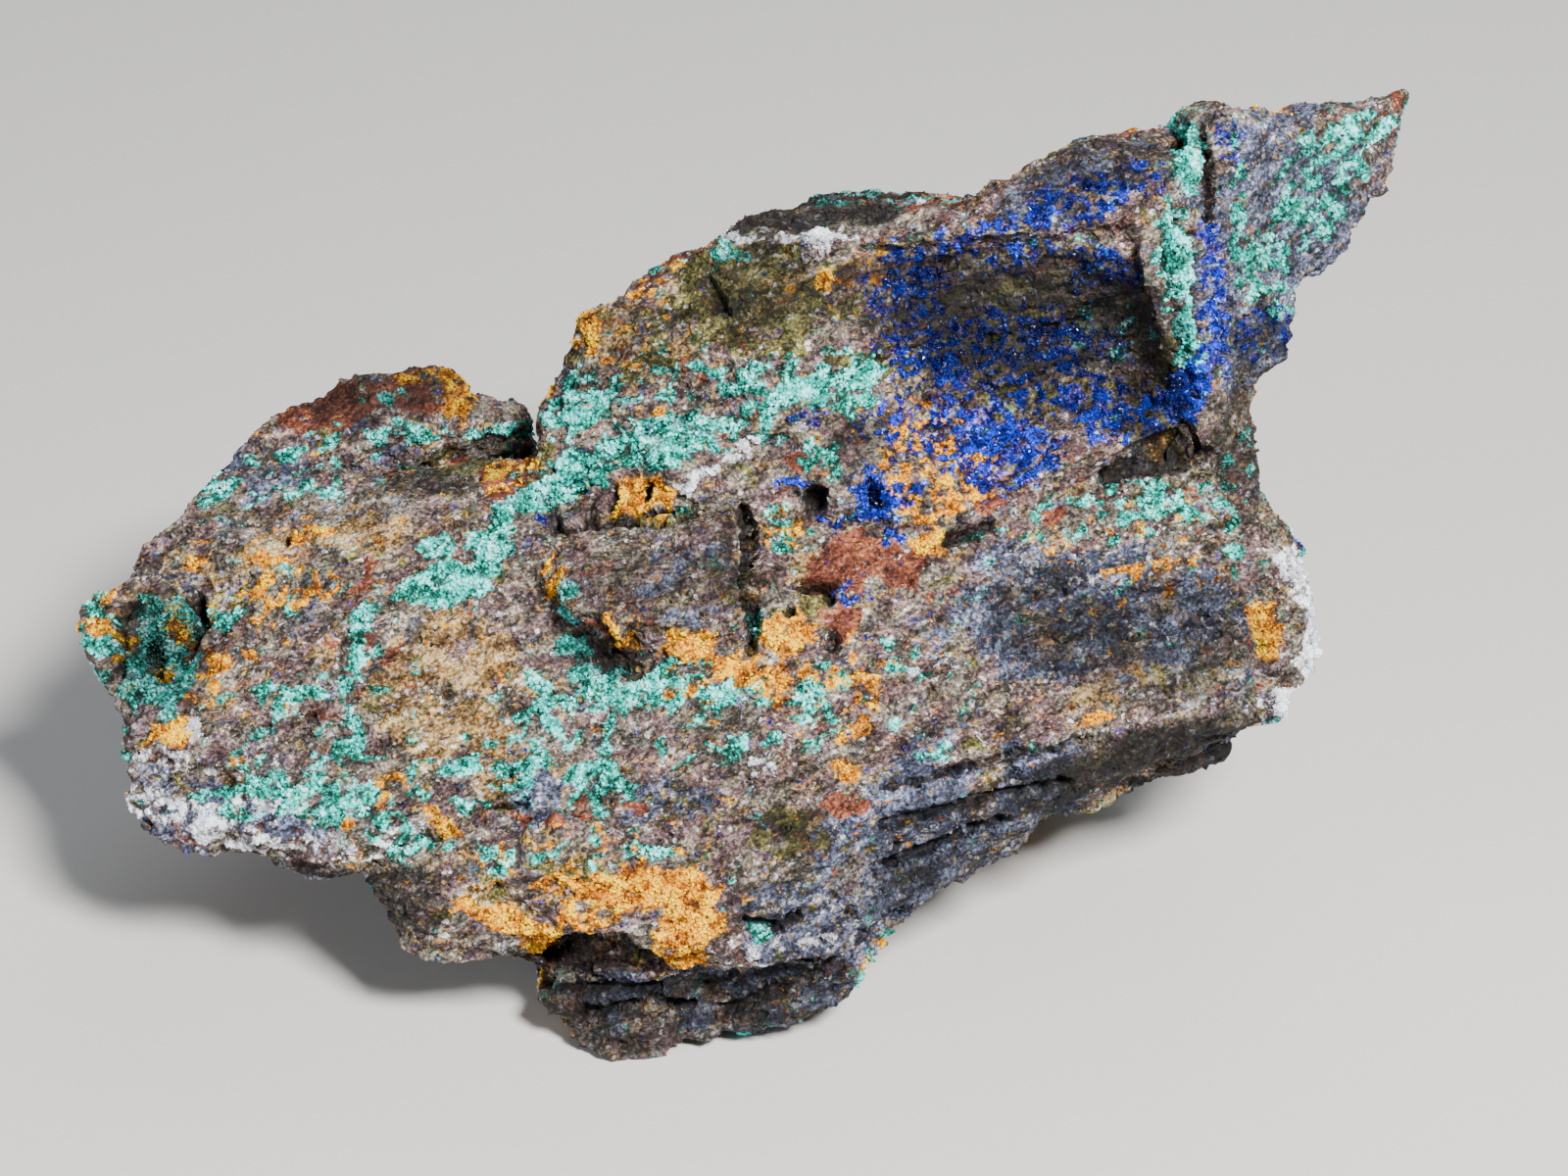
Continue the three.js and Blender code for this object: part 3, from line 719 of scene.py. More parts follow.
STEPS = {
    "hollow's ridge and edge": Groove(
        (
            (842, 248), (920, 247), (998, 241), (1080, 233), (1148, 224),
            (1164, 240), (1166, 274), (1184, 353), (1220, 440), (1228, 462),
        ),
        110,
        1.8,
    ),
    "chunk's underside": Groove(((556, 596), (580, 624), (636, 632), (700, 642), (757, 650)), 46, 1.1),
    "slate": Groove(((985, 700), (1000, 640), (1040, 583), (1110, 592), (1190, 600), (1265, 612)), 70, 0.9),
    "foot's lip": Groove(
        (
            (462, 985), (540, 972), (600, 956), (650, 962), (690, 986),
            (740, 1000), (800, 990), (860, 974), (900, 940),
        ),
        30,
        1.4,
    ),
    "lobe": Groove(
        ((128, 762), (200, 776), (330, 800), (440, 824), (530, 823), (620, 806), (740, 800)),
        44,
        0.6,
    ),
    "block's foot": Groove(((556, 506), (640, 482), (700, 457), (760, 441), (830, 446)), 30, 0.7),
    "right face's edge": Groove(
        ((1284, 735), (1280, 690), (1279, 640), (1277, 590), (1262, 540), (1250, 490)),
        22,
        1.2,
    ),
}

PITS = {
    "vug": Oval(166, 655, 34, 46, 0, 0.9),
    "cavity": Oval(616, 664, 38, 18, -6, 0.8),
    "square pit": Oval(658, 504, 7, 11, 0, 2.4),
    "round pit": Oval(832, 512, 12, 16, 0, 2.6),
    "blue pit": Oval(893, 508, 9, 18, 20, 2.0),
    "wide pit": Oval(834, 597, 20, 8, 6, 2.4),
    "wide pit's foot": Oval(848, 610, 6, 8, 0, 1.6),
    "small pit": Oval(806, 627, 5, 6, 0, 1.4),
    "low pit": Oval(851, 655, 7, 9, 0, 1.4),
    "vug's pit": Oval(158, 668, 11, 15, 0, 2.2),
    "vug's side pit": Oval(229, 643, 6, 5, 0, 1.3),
    "vug's top pit": Oval(140, 618, 6, 8, 0, 1.4),
    "back pit": Oval(294, 551, 5, 5, 0, 1.2),
    "lobe's pit": Oval(191, 786, 4, 6, 0, 1.0),
    "band's pit": Oval(698, 391, 6, 4, 0, 0.9),
    "vein's pit": Oval(318, 731, 6, 6, 0, 0.9),
}

KNOBS = {
    "vug's knob": Oval(181, 633, 14, 15, 0, 2.1),
    "vug's low knob": Oval(172, 684, 10, 8, 0, 0.9),
    "stick": Oval(632, 650, 27, 5, -55, 1.1),
    "cavity's mouth": Oval(706, 658, 26, 17, 0, 0.6),
    "right of the slot": Oval(800, 645, 20, 18, 0, 0.5),
    "hook": Oval(876, 745, 20, 9, 30, 0.4),
    "right rim": Oval(1330, 655, 12, 62, 0, 0.5),
}


class Mark(Enum):
    """What is marked on the rock's points, from 0 to 1, for its finish to read."""

    AZURITE = "azurite"
    MALACHITE = "malachite"
    OCHRE = "ochre"
    RUST = "rust"
    QUARTZ = "quartz"
    # Painted shade, together with darker tone of the rock.
    DARK = "dark"
    WARM = "warm"
    COOL = "cool"
    OLIVE = "olive"
    # Painted shade in pits, cracks, grooves and cavities.
    CAVITY_SHADE = "cavity"


def keep(mesh: bpy.types.Mesh, name: str, values: np.ndarray) -> None:
    """Keep a number on each of a mesh's points, for its finish to read.

    Args:
        mesh: The mesh.
        name: What the number is called.
        values: One number for each point.
    """
    layer = mesh.attributes.new(name, "FLOAT", "POINT")
    layer.data.foreach_set("value", values.astype(np.float32))


@dataclass(frozen=True)
class Mineral:
    """Where one mineral, tone or painted shade lies: its ovals in front, and how much of the other sides it
    takes.

    speckle is how wide its specks are, in millimetres, contrast how sharply they end, and strongest
    the most that it takes of a spot on the other sides.
    """

    mark: Mark
    ovals: dict[str, Oval]
    elsewhere: float
    seed: int
    speckle: float = 1.5
    contrast: float = 2.2
    strongest: float = 0.9


MINERALS = (
    Mineral(Mark.AZURITE, AZURITE, 0.02, 11, 0.9, 1.6),
    Mineral(Mark.MALACHITE, MALACHITE, 0.09, 12, 1.6, 1.8),
    Mineral(Mark.OCHRE, OCHRE, 0.03, 13, 1.2, 1.6),
    Mineral(Mark.RUST, RUST, 0.12, 14, 2.2, 1.6),
    Mineral(Mark.QUARTZ, QUARTZ, 0.04, 15, 1.0, 1.6),
    Mineral(Mark.DARK, DARK, 0.25, 16, 3.0, strongest=0.35),
    Mineral(Mark.WARM, WARM, 0.35, 17, 4.0, 1.0),
    Mineral(Mark.COOL, COOL, 0.35, 18, 4.0, 1.0),
    Mineral(Mark.OLIVE, OLIVE, 0.15, 19, 3.0, 1.0),
)


@dataclass(frozen=True)
class Warp:
    """A noise that bends what is drawn in the picture: its seed and width, and its reach in pixels."""

    seed: int
    width: float
    reach: float
    layers: int
    apart: float

    def bend(self, x: np.ndarray, y: np.ndarray, place: np.ndarray) -> tuple[np.ndarray, np.ndarray]:
        """Move pixels about.

        Args:
            x: The pixels across.
            y: The pixels down.
            place: The points that they show, in millimetres.

        Returns:
            The moved pixels, across and down.
        """
        noise = Swells(self.seed)
        right = self.reach * noise.rough(place, self.width, self.layers)
        down = self.reach * noise.rough(place + self.apart, self.width, self.layers)
        return x + right, y + down


RIM_WARP = Warp(seed=5, width=3.0, reach=9.0, layers=2, apart=50.0)
HOLE_WARP = Warp(seed=6, width=0.9, reach=3.0, layers=1, apart=20.0)


class Seed(Enum):
    """The numbers that the noises of the relief are drawn from."""

    LAYERS = 21
    CHIPS = 22
    CRUSTS = 23
    PITS = 24


@dataclass
class Stone:
    """The rock itself: the CAD solid's copy with the fine surface of broken layered rock.

    Lengths with MM are in metres, other lengths in millimetres. Two numbers for a kind of relief are
    its width and its height, and three for a crust the grain's width, the crust's thickness and the
    grain's height. Other pairs say where something starts and where it is full.
    """

    eye: Eye
    merge: float = 0.001 * MM
    edge: float = 0.9 * MM
    seen_edges: tuple[float, ...] = (0.45 * MM, 0.70 * MM)
    least_seen: float = 0.1
    facet_rounds: int = 2
    facet_rounding: float = 0.5
    flat_foot: float = 0.2 * MM
    foot_rim: tuple[float, float] = (0.1 * MM, 1.0 * MM)
    field_width: float = 12.0
    field_thinness: float = 1.6
    field_contrast: float = 4.0
    field_layers: int = 3
    speckle_thinness: float = 1.5
    # dark_least to cavity_depths set the painted shade: how much of the dark mark its speckle keeps, how
    # knobs lessen the shade, how dark pits and cavities are painted, and the depths where that starts and
    # is full.
    dark_least: float = 0.75
    knob_light: float = 2.0
    pit_shade: float = 1.4
    cavity_shade: float = 0.85
    cavity_depths: tuple[float, float] = (0.4, 1.7)
    beds: tuple[tuple[float, float], ...] = ((2.3, 0.62), (0.95, 0.26))
    bed_waves: tuple[tuple[float, float], ...] = ((14.0, 0.9), (3.5, 0.25))
    bed_width: float = 5.0
    bed_apart: float = 37.0
    bed_edge: tuple[float, float] = (0.78, 1.0)
    bed_heights: tuple[float, float] = (34.0, 8.0)
    bed_least: float = 0.35
    chip_thinness: float = 2.0
    chip_bend: tuple[float, float] = (6.0, 0.6)
    chip_apart: float = 9.0
    chip_level: float = 0.18
    broad_chips: tuple[float, float] = (5.5, 0.42)
    small_chips: tuple[float, float] = (2.0, 0.32)
    broad_creases: tuple[float, float] = (2.2, 0.34)
    small_creases: tuple[float, float] = (0.9, 0.24)
    crease_apart: float = 5.0
    fine_grain: tuple[float, float] = (0.5, 0.08)
    crust_rim: tuple[float, float] = (0.4, 0.65)
    crust_apart: float = 3.0
    grain_top: float = 0.6
    green_crust: tuple[float, float, float] = (0.95, 0.12, 0.30)
    blue_crust: tuple[float, float, float] = (0.8, 0.04, 0.22)
    ochre_crust: tuple[float, float, float] = (0.7, 0.08, 0.16)
    white_crust: tuple[float, float, float] = (1.3, 0.06, 0.25)
    pits_apart: float = 2.1
    pit_rim: tuple[float, float] = (0.34, 0.12)
    pit_depth: float = 0.85
    pit_rarity: int = 9

    def build(self) -> bpy.types.Object:
        """Make the rock's object, with its marks.

        Returns:
            The rock, in place of the CAD solid.
        """
        mesh = self.refined_copy()
        count = len(mesh.vertices)
        points = np.empty(count * 3)
        normals = np.empty(count * 3)
        mesh.vertices.foreach_get("co", points)
        mesh.vertices.foreach_get("normal", normals)
        self.points = points.reshape(-1, 3)
        self.normals = normals.reshape(-1, 3)
        self.marks = self.marked()
        moved = self.points + self.normals * self.relief()[:, None] * MM
        lift = smooth(self.points[:, 2], *self.foot_rim)[:, None]
        moved = self.points * (1.0 - lift) + moved * lift
        moved[:, 2] = np.maximum(moved[:, 2], 0.0)
        mesh.vertices.foreach_set("co", moved.ravel())
        for mark, values in self.marks.items():
            keep(mesh, mark.value, values)
        keep(mesh, TINT, np.full(count, 0.5))
        mesh.polygons.foreach_set("use_smooth", np.zeros(len(mesh.polygons), dtype=bool))
        mesh.update()
        rock = bpy.data.objects.new("rock", mesh)
        bpy.context.scene.collection.objects.link(rock)
        LOG.info("rock: %d triangles", len(mesh.polygons))
        return rock

    def refined_copy(self) -> bpy.types.Mesh:
        """Copy the CAD solid's mesh, merge it, round its facets a little and cut it finely.

        Returns:
            A mesh of triangles, finest where the camera sees it.
        """
        mesh = bpy.data.meshes.new("rock")
        bm = bmesh.new()
        bm.from_mesh(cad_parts[ROCK_NODE].data)
        bmesh.ops.remove_doubles(bm, verts=bm.verts, dist=self.merge)
        bmesh.ops.subdivide_edges(bm, edges=bm.edges[:], cuts=1)
        axes = {"use_axis_x": True, "use_axis_y": True, "use_axis_z": True}
        for _ in range(self.facet_rounds):
            loose = [v for v in bm.verts if v.co.z > self.flat_foot]
            bmesh.ops.smooth_vert(bm, verts=loose, factor=self.facet_rounding, **axes)
        self.cut(bm, self.edge, everywhere=True)
        for seen_edge in self.seen_edges:
            self.cut(bm, seen_edge, everywhere=False)
        bm.normal_update()
        bm.to_mesh(mesh)
        bm.free()
        return mesh

    def cut(self, bm: bmesh.types.BMesh, longest: float, everywhere: bool) -> None:
        """Halve the edges that are too long.

        Args:
            bm: The mesh, of triangles.
            longest: The length that an edge may have.
            everywhere: Whether the sides that the camera doesn't see are cut too.
        """
        bm.normal_update()
        bm.verts.ensure_lookup_table()
        bm.verts.index_update()
        points = np.array([v.co for v in bm.verts])
        normals = np.array([v.normal for v in bm.verts])
        seen = self.eye.sees(points, normals) > self.least_seen
        edges = [
            edge
            for edge in bm.edges
            if edge.calc_length() > longest
            and (everywhere or seen[edge.verts[0].index] or seen[edge.verts[1].index])
        ]
        bmesh.ops.subdivide_edges(bm, edges=edges, cuts=1)
        wide = [face for face in bm.faces if len(face.verts) > 3]
        bmesh.ops.triangulate(bm, faces=wide)

    def marked(self) -> dict[Mark, np.ndarray]:
        """Work out where each mineral, tone and painted shade lies.

        Returns:
            For each mark, a number from 0 to 1 for each point.
        """
        place = self.points / MM
        x, y, _ = self.eye.pixels_of(self.points)
        x, y = RIM_WARP.bend(x, y, place)
        self.seen = self.eye.sees(self.points, self.normals)
        marks = {}
        for mineral in MINERALS:
            noise = Swells(mineral.seed)
            front = cover(mineral.ovals, x, y)
            along = bedded(place, self.field_thinness)
            field = even(noise.rough(along, self.field_width, self.field_layers))
            ahead = (mineral.elsewhere - field) * self.field_contrast
            back = np.clip(0.5 + ahead, 0.0, mineral.strongest)
            share = self.seen * front + (1.0 - self.seen) * back
            along = bedded(place, self.speckle_thinness)
            speckle = even(noise.rough(along, mineral.speckle, self.field_layers))
            # The dark mark is painted shade and darker tone, softly speckled.
            if mineral.mark is Mark.DARK:
                marks[mineral.mark] = share * (self.dark_least + (1.0 - self.dark_least) * speckle)
            else:
                marks[mineral.mark] = np.clip(0.5 + (share - speckle) * mineral.contrast, 0.0, 1.0)
        return marks

    def relief(self) -> np.ndarray:
        """Work out how far each point moves out, in millimetres, and mark the painted shade in the
        cavities.

        Returns:
            A number for each point, below 0 where it sinks in.
        """
        place = self.points / MM
        height = self.layers(place) + self.chips(place) + self.crusts(place)
        sunk = np.zeros(len(place))
        x, y, _ = self.eye.pixels_of(self.points)
        x, y = HOLE_WARP.bend(x, y, place)
        for groove in GROOVES.values():
            sunk = np.maximum(sunk, groove.sink(x, y))
        for pit in PITS.values():
            sunk = np.maximum(sunk, pit.share * pit.nearness(x, y))
        stepped = sum(step.step(x, y) for step in STEPS.values())
        sunk = np.maximum(sunk, stepped) * self.seen
        raised = sum(knob.share * knob.nearness(x, y) for knob in KNOBS.values()) * self.seen
        scattered = self.scattered_pits(place)
        # Painted shade: cavities, grooves and pits are darkened in the colour, less where knobs stand and
        # not on steps.
        open_holes = sunk - stepped * self.seen - self.knob_light * raised
        holes = np.maximum(open_holes, self.pit_shade * scattered)
        self.marks[Mark.CAVITY_SHADE] = self.cavity_shade * smooth(holes, *self.cavity_depths)
        return height + raised - sunk - scattered

    def layers(self, place: np.ndarray) -> np.ndarray:
        """Give each bedding layer its own broken edge.

        Args:
            place: The points, in millimetres.

        Returns:
            The relief in millimetres.
        """
        noise = Swells(Seed.LAYERS.value)
        level = place @ np.array(ACROSS_LAYERS)
        for width, height in self.bed_waves:
            level = level + height * noise.at(place, width)
        low_down = smooth(place[:, 2], *self.bed_heights)
        strength = self.bed_least + (1.0 - self.bed_least) * low_down
        total = np.zeros(len(place))
        for thickness, height in self.beds:
            number = np.floor(level / thickness)
            share = smooth(level / thickness - number, *self.bed_edge)
            here = noise.at(place + number[:, None] * self.bed_apart, self.bed_width)
            above = noise.at(place + (number[:, None] + 1.0) * self.bed_apart, self.bed_width)
            total += height * strength * (here * (1.0 - share) + above * share)
        return total

    def chips(self, place: np.ndarray) -> np.ndarray:
        """Break the surface into small tilted faces with a rough grain.

        Args:
            place: The points, in millimetres.

        Returns:
            The relief in millimetres.
        """
        noise = Swells(Seed.CHIPS.value)
        broad_width, broad_height = self.broad_chips
        small_width, small_height = self.small_chips
        crease_width, crease_depth = self.broad_creases
        thin_width, thin_depth = self.small_creases
        grain_width, grain_height = self.fine_grain
        bend_width, bend_reach = self.chip_bend
        along = bedded(place, self.chip_thinness)
        bent = along + bend_reach * noise.at(place, bend_width)[:, None]
        _, _, broad = noise.grains(bent, broad_width)
        _, _, small = noise.grains(along + self.chip_apart, small_width)
        creases = -np.abs(noise.at(along, crease_width)) * crease_depth
        creases = creases - np.abs(noise.at(along + self.crease_apart, thin_width)) * thin_depth
        grain = grain_height * noise.at(place, grain_width)
        return broad * broad_height + small * small_height + creases + self.chip_level + grain

    def crusts(self, place: np.ndarray) -> np.ndarray:
        """Raise the crusts of minerals, each with its own grain.

        Args:
            place: The points, in millimetres.

        Returns:
            The relief in millimetres.
        """
        noise = Swells(Seed.CRUSTS.value)
        green_width, *green = self.green_crust
        blue_width, *blue = self.blue_crust
        ochre_width, *ochre = self.ochre_crust
        white_width, *white = self.white_crust
        knobs, _, _ = noise.grains(place, green_width)
        _, _, crystals = noise.grains(place + self.crust_apart, blue_width)
        lumps, _, _ = noise.grains(place + 2.0 * self.crust_apart, white_width)
        crusts = (
            (Mark.MALACHITE, green, self.grain_top - knobs),
            (Mark.AZURITE, blue, crystals),
            (Mark.OCHRE, ochre, noise.at(place, ochre_width)),
            (Mark.QUARTZ, white, self.grain_top - lumps),
        )
        total = np.zeros(len(place))
        for mark, (thickness, height), grain in crusts:
            total += smooth(self.marks[mark], *self.crust_rim) * (thickness + height * grain)
        return total

    def scattered_pits(self, place: np.ndarray) -> np.ndarray:
        """Scatter small pits over the rock.

        Args:
            place: The points, in millimetres.

        Returns:
            Their depth in millimetres.
        """
        noise = Swells(Seed.PITS.value)
        away, number, _ = noise.grains(place, self.pits_apart)
        chosen = number % self.pit_rarity == 0
        return self.pit_depth * chosen * smooth(away, *self.pit_rim)


class Finish:
    """A material's node tree, built a node at a time on the piece's own coordinates."""

    SPECULAR = 0.25
    LAYER_STRETCH = (1, 1, 0.4)

    def __init__(self, name: str) -> None:
        """Start a material with nothing but its shader.

        Args:
            name: The material's name.
        """
        self.material = bpy.data.materials.new(name)
        self.material.use_nodes = True
        self.tree = self.material.node_tree
        self.shader = self.tree.nodes["Principled BSDF"]
        self.give("Specular IOR Level", self.SPECULAR)
        self.place = self.add("ShaderNodeTexCoord", {}).outputs["Object"]
        turn = ACROSS_LAYERS.to_track_quat("Z", "Y").to_euler()
        lay = {"Vector": self.place, "Rotation": turn, "Scale": self.LAYER_STRETCH}
        self.bedded = self.add("ShaderNodeMapping", lay, vector_type="TEXTURE").outputs["Vector"]

    def give(self, name: str, value: Value) -> None:
        """Link or set one of the shader's inputs."""
        self.feed(self.shader.inputs[name], value)

    def feed(self, socket: bpy.types.NodeSocket, value: Value) -> None:
        """Link a socket, or set it.

        Args:
            socket: The input.
            value: Another node's output, a number or a colour.
        """
        if isinstance(value, bpy.types.NodeSocket):
            self.tree.links.new(value, socket)
        else:
            socket.default_value = value

    def add(self, kind: str, inputs: dict[str | int, Value], **settings: object) -> bpy.types.Node:
        """Add a node.

        Args:
            kind: Blender's name for the node.
            inputs: What goes into its inputs, by their names or numbers.
            settings: The node's own settings.

        Returns:
            The node.
        """
        node = self.tree.nodes.new(kind)
        for name, value in settings.items():
            setattr(node, name, value)
        for name, value in inputs.items():
            self.feed(node.inputs[name], value)
        return node

    def noise(self, width: float, detail: float = 3.0, place: Value | None = None) -> bpy.types.NodeSocket:
        """Smooth noise.

        Args:
            width: How wide its swells are, in metres.
            detail: How many finer noises lie on it.
            place: The coordinates it is drawn on, the piece's own if left out.

        Returns:
            The output, mostly from 0.3 to 0.7.
        """
        inputs = {"Vector": place or self.place, "Scale": 1.0 / width, "Detail": detail, "Roughness": 0.6}
        return self.add("ShaderNodeTexNoise", inputs).outputs["Fac"]

    def cells(self, width: float, output: str = "Distance") -> bpy.types.NodeSocket:
        """Round cells.

        Args:
            width: How wide they are, in metres.
            output: Distance, or Color for one random colour each.

        Returns:
            The output.
        """
        inputs = {"Vector": self.place, "Scale": 1.0 / width}
        return self.add("ShaderNodeTexVoronoi", inputs).outputs[output]

    def mark(self, name: str) -> bpy.types.NodeSocket:
        """Read a number that is kept on the piece's points."""
        return self.add("ShaderNodeAttribute", {}, attribute_name=name).outputs["Fac"]

    def math(self, operation: str, first: Value, second: Value, third: Value = 0.0) -> bpy.types.NodeSocket:
        """Work out a sum, product or other result of two or three numbers."""
        return self.add("ShaderNodeMath", {0: first, 1: second, 2: third}, operation=operation).outputs[0]

    def span(self, value: Value, low: float, high: float) -> bpy.types.NodeSocket:
        """Ease from 0 to 1 as a value goes from one number to another."""
        inputs = {"Value": value, "From Min": low, "From Max": high}
        return self.add("ShaderNodeMapRange", inputs, interpolation_type="SMOOTHSTEP").outputs["Result"]

    def ramp(self, value: Value, stops: Stops) -> bpy.types.NodeSocket:
        """Turn a number into a colour.

        Args:
            value: The number.
            stops: Pairs of a number and its colour, from low to high.

        Returns:
            The colour's output.
        """
        node = self.add("ShaderNodeValToRGB", {"Fac": value})
        elements = node.color_ramp.elements
        while len(elements) < len(stops):
            elements.new(0.5)
        for element, (position, colour) in zip(elements, stops):
            element.position = position
            element.color = (*colour, 1.0)
        return node.outputs["Color"]

    def mix(self, share: Value, first: Value, second: Value, blend: str = "MIX") -> bpy.types.NodeSocket:
        """Mix two colours.

        Args:
            share: How much of the second.
            first: The first colour.
            second: The second colour.
            blend: How they mix, as Blender names it.

        Returns:
            The colour's output.
        """
        inputs = {0: share, 6: first, 7: second}
        return self.add("ShaderNodeMix", inputs, data_type="RGBA", blend_type=blend).outputs[2]

    def blend(self, share: Value, first: Value, second: Value) -> bpy.types.NodeSocket:
        """Mix two numbers, with share of the second."""
        return self.add("ShaderNodeMix", {0: share, 2: first, 3: second}).outputs[0]

    def shade(self, darkest: float) -> bpy.types.NodeSocket:
        """Work out how dark the painted shade and darker tone of the stone's marks make the piece.

        Args:
            darkest: What is left of a colour where a mark is full.

        Returns:
            The factor's output, 1 where nothing is marked.
        """
        marked = self.math("ADD", self.mark(Mark.DARK.value), self.mark(Mark.CAVITY_SHADE.value))
        return self.math("POWER", darkest, marked)

    def bump(self, height: Value, depth: float, strength: float = 1.0) -> bpy.types.NodeSocket:
        """Turn a height into a bumped normal.

        Args:
            height: The height, from 0 to 1.
            depth: How deep that is, in metres.
            strength: How much of it shows.

        Returns:
            The normal's output.
        """
        inputs = {"Height": height, "Distance": depth, "Strength": strength}
        return self.add("ShaderNodeBump", inputs).outputs["Normal"]


@dataclass(frozen=True)
class RockFinish:
    """Broken rock with its stains and crusts, each with its own colours and grain, and painted shade in its
    crevices, cracks and hollows.
    """

    matrix: Stops = (
        (0.00, (0.008, 0.007, 0.005)),
        (0.30, (0.048, 0.042, 0.034)),
        (0.60, (0.160, 0.138, 0.108)),
        (0.85, (0.350, 0.310, 0.250)),
        (1.00, (0.760, 0.720, 0.630)),
    )
    mauve: Stops = (
        (0.00, (0.010, 0.005, 0.006)),
        (0.35, (0.075, 0.044, 0.044)),
        (0.65, (0.185, 0.122, 0.122)),
        (0.90, (0.380, 0.285, 0.285)),
        (1.00, (0.740, 0.660, 0.660)),
    )
    warm: Stops = (
        (0.00, (0.020, 0.010, 0.003)),
        (0.30, (0.150, 0.082, 0.026)),
        (0.60, (0.400, 0.262, 0.112)),
        (0.85, (0.640, 0.470, 0.255)),
        (1.00, (0.920, 0.810, 0.580)),
    )
    cool: Stops = (
        (0.00, (0.005, 0.006, 0.012)),
        (0.35, (0.042, 0.048, 0.082)),
        (0.65, (0.140, 0.160, 0.250)),
        (0.90, (0.340, 0.390, 0.560)),
        (1.00, (0.700, 0.800, 0.980)),
    )
    olive: Stops = (
        (0.00, (0.010, 0.010, 0.002)),
        (0.35, (0.060, 0.054, 0.012)),
        (0.65, (0.190, 0.170, 0.048)),
        (0.90, (0.420, 0.390, 0.140)),
        (1.00, (0.750, 0.740, 0.400)),
    )
    rust: Stops = (
        (0.00, (0.022, 0.006, 0.004)),
        (0.40, (0.140, 0.036, 0.018)),
        (0.75, (0.330, 0.105, 0.056)),
        (1.00, (0.560, 0.300, 0.190)),
    )
    ochre: Stops = (
        (0.00, (0.080, 0.018, 0.000)),
        (0.35, (0.480, 0.150, 0.000)),
        (0.70, (0.960, 0.420, 0.000)),
        (1.00, (1.000, 0.720, 0.030)),
    )
    malachite: Stops = (
        (0.00, (0.001, 0.026, 0.018)),
        (0.30, (0.003, 0.160, 0.110)),
        (0.55, (0.014, 0.480, 0.410)),
        (0.76, (0.130, 0.880, 0.820)),
        (1.00, (0.600, 1.000, 1.000)),
    )
    violet: Stops = (
        (0.00, (0.004, 0.001, 0.010)),
        (0.40, (0.026, 0.010, 0.120)),
        (0.75, (0.100, 0.052, 0.460)),
        (1.00, (0.420, 0.320, 0.950)),
    )
    azurite: Stops = (
        (0.00, (0.001, 0.001, 0.008)),
        (0.35, (0.003, 0.005, 0.090)),
        (0.65, (0.008, 0.022, 0.420)),
        (0.88, (0.030, 0.085, 0.850)),
        (1.00, (0.300, 0.440, 1.000)),
    )
    quartz: Stops = (
        (0.00, (0.120, 0.110, 0.120)),
        (0.40, (0.420, 0.420, 0.460)),
        (0.75, (0.780, 0.800, 0.860)),
        (1.00, (0.970, 0.980, 1.000)),
    )
    crevice_shade_colour: Colour = (0.12, 0.11, 0.10)
    darkest: float = 0.06
    roughness: tuple[float, float] = (0.72, 0.25)
    bump_depth: float = 0.25 * MM
    raggedness: float = 1.2
    rim: tuple[float, float] = (0.44, 0.56)

    def make(self) -> bpy.types.Material:
        """Build the material.

        Returns:
            The rock's material.
        """
        finish = Finish("broken rock")
        fine = finish.noise(0.34 * MM, 3.0)
        middle = finish.noise(2.8 * MM, 6.0, finish.bedded)
        grain = finish.span(finish.blend(0.5, middle, fine), 0.33, 0.69)
        crust = finish.span(finish.blend(0.35, finish.noise(0.40 * MM, 3.0), middle), 0.36, 0.64)
        colour = finish.ramp(grain, self.matrix)
        mauve = finish.span(finish.noise(4.0 * MM, 6.0, finish.bedded), 0.46, 0.56)
        colour = finish.mix(mauve, colour, finish.ramp(grain, self.mauve))
        for mark, stops in ((Mark.WARM, self.warm), (Mark.COOL, self.cool), (Mark.OLIVE, self.olive)):
            colour = finish.mix(self.area(finish, mark, 0.9), colour, finish.ramp(grain, stops))
        random_colour = {"Color": finish.cells(0.42 * MM, "Color")}
        picked = finish.add("ShaderNodeSeparateColor", random_colour).outputs["Red"]
        tan = finish.math("MULTIPLY", finish.span(picked, 0.88, 0.90), 0.6)
        pale = finish.math("MULTIPLY", finish.span(picked, 0.96, 0.97), 0.7)
        colour = finish.mix(tan, colour, finish.ramp(crust, self.warm))
        colour = finish.mix(pale, colour, finish.ramp(crust, self.quartz))
        rust = self.area(finish, Mark.RUST, 0.5)
        quartz = self.area(finish, Mark.QUARTZ, 0.28)
        ochre = self.area(finish, Mark.OCHRE, 0.30)
        malachite = self.area(finish, Mark.MALACHITE, 0.32)
        azurite = self.area(finish, Mark.AZURITE, 0.28)
        colour = finish.mix(rust, colour, finish.ramp(grain, self.rust))
        colour = finish.mix(quartz, colour, finish.ramp(crust, self.quartz))
        violet = finish.span(finish.noise(2.4 * MM, 4.0), 0.50, 0.60)
        blue = finish.mix(violet, finish.ramp(crust, self.azurite), finish.ramp(crust, self.violet))
        colour = finish.mix(azurite, colour, blue)
        deeper = finish.span(finish.noise(1.6 * MM, 4.0), 0.48, 0.60)
        patchy = finish.math("SUBTRACT", crust, finish.math("MULTIPLY", deeper, 0.22))
        colour = finish.mix(malachite, colour, finish.ramp(patchy, self.malachite))
        colour = finish.mix(ochre, colour, finish.ramp(patchy, self.ochre))
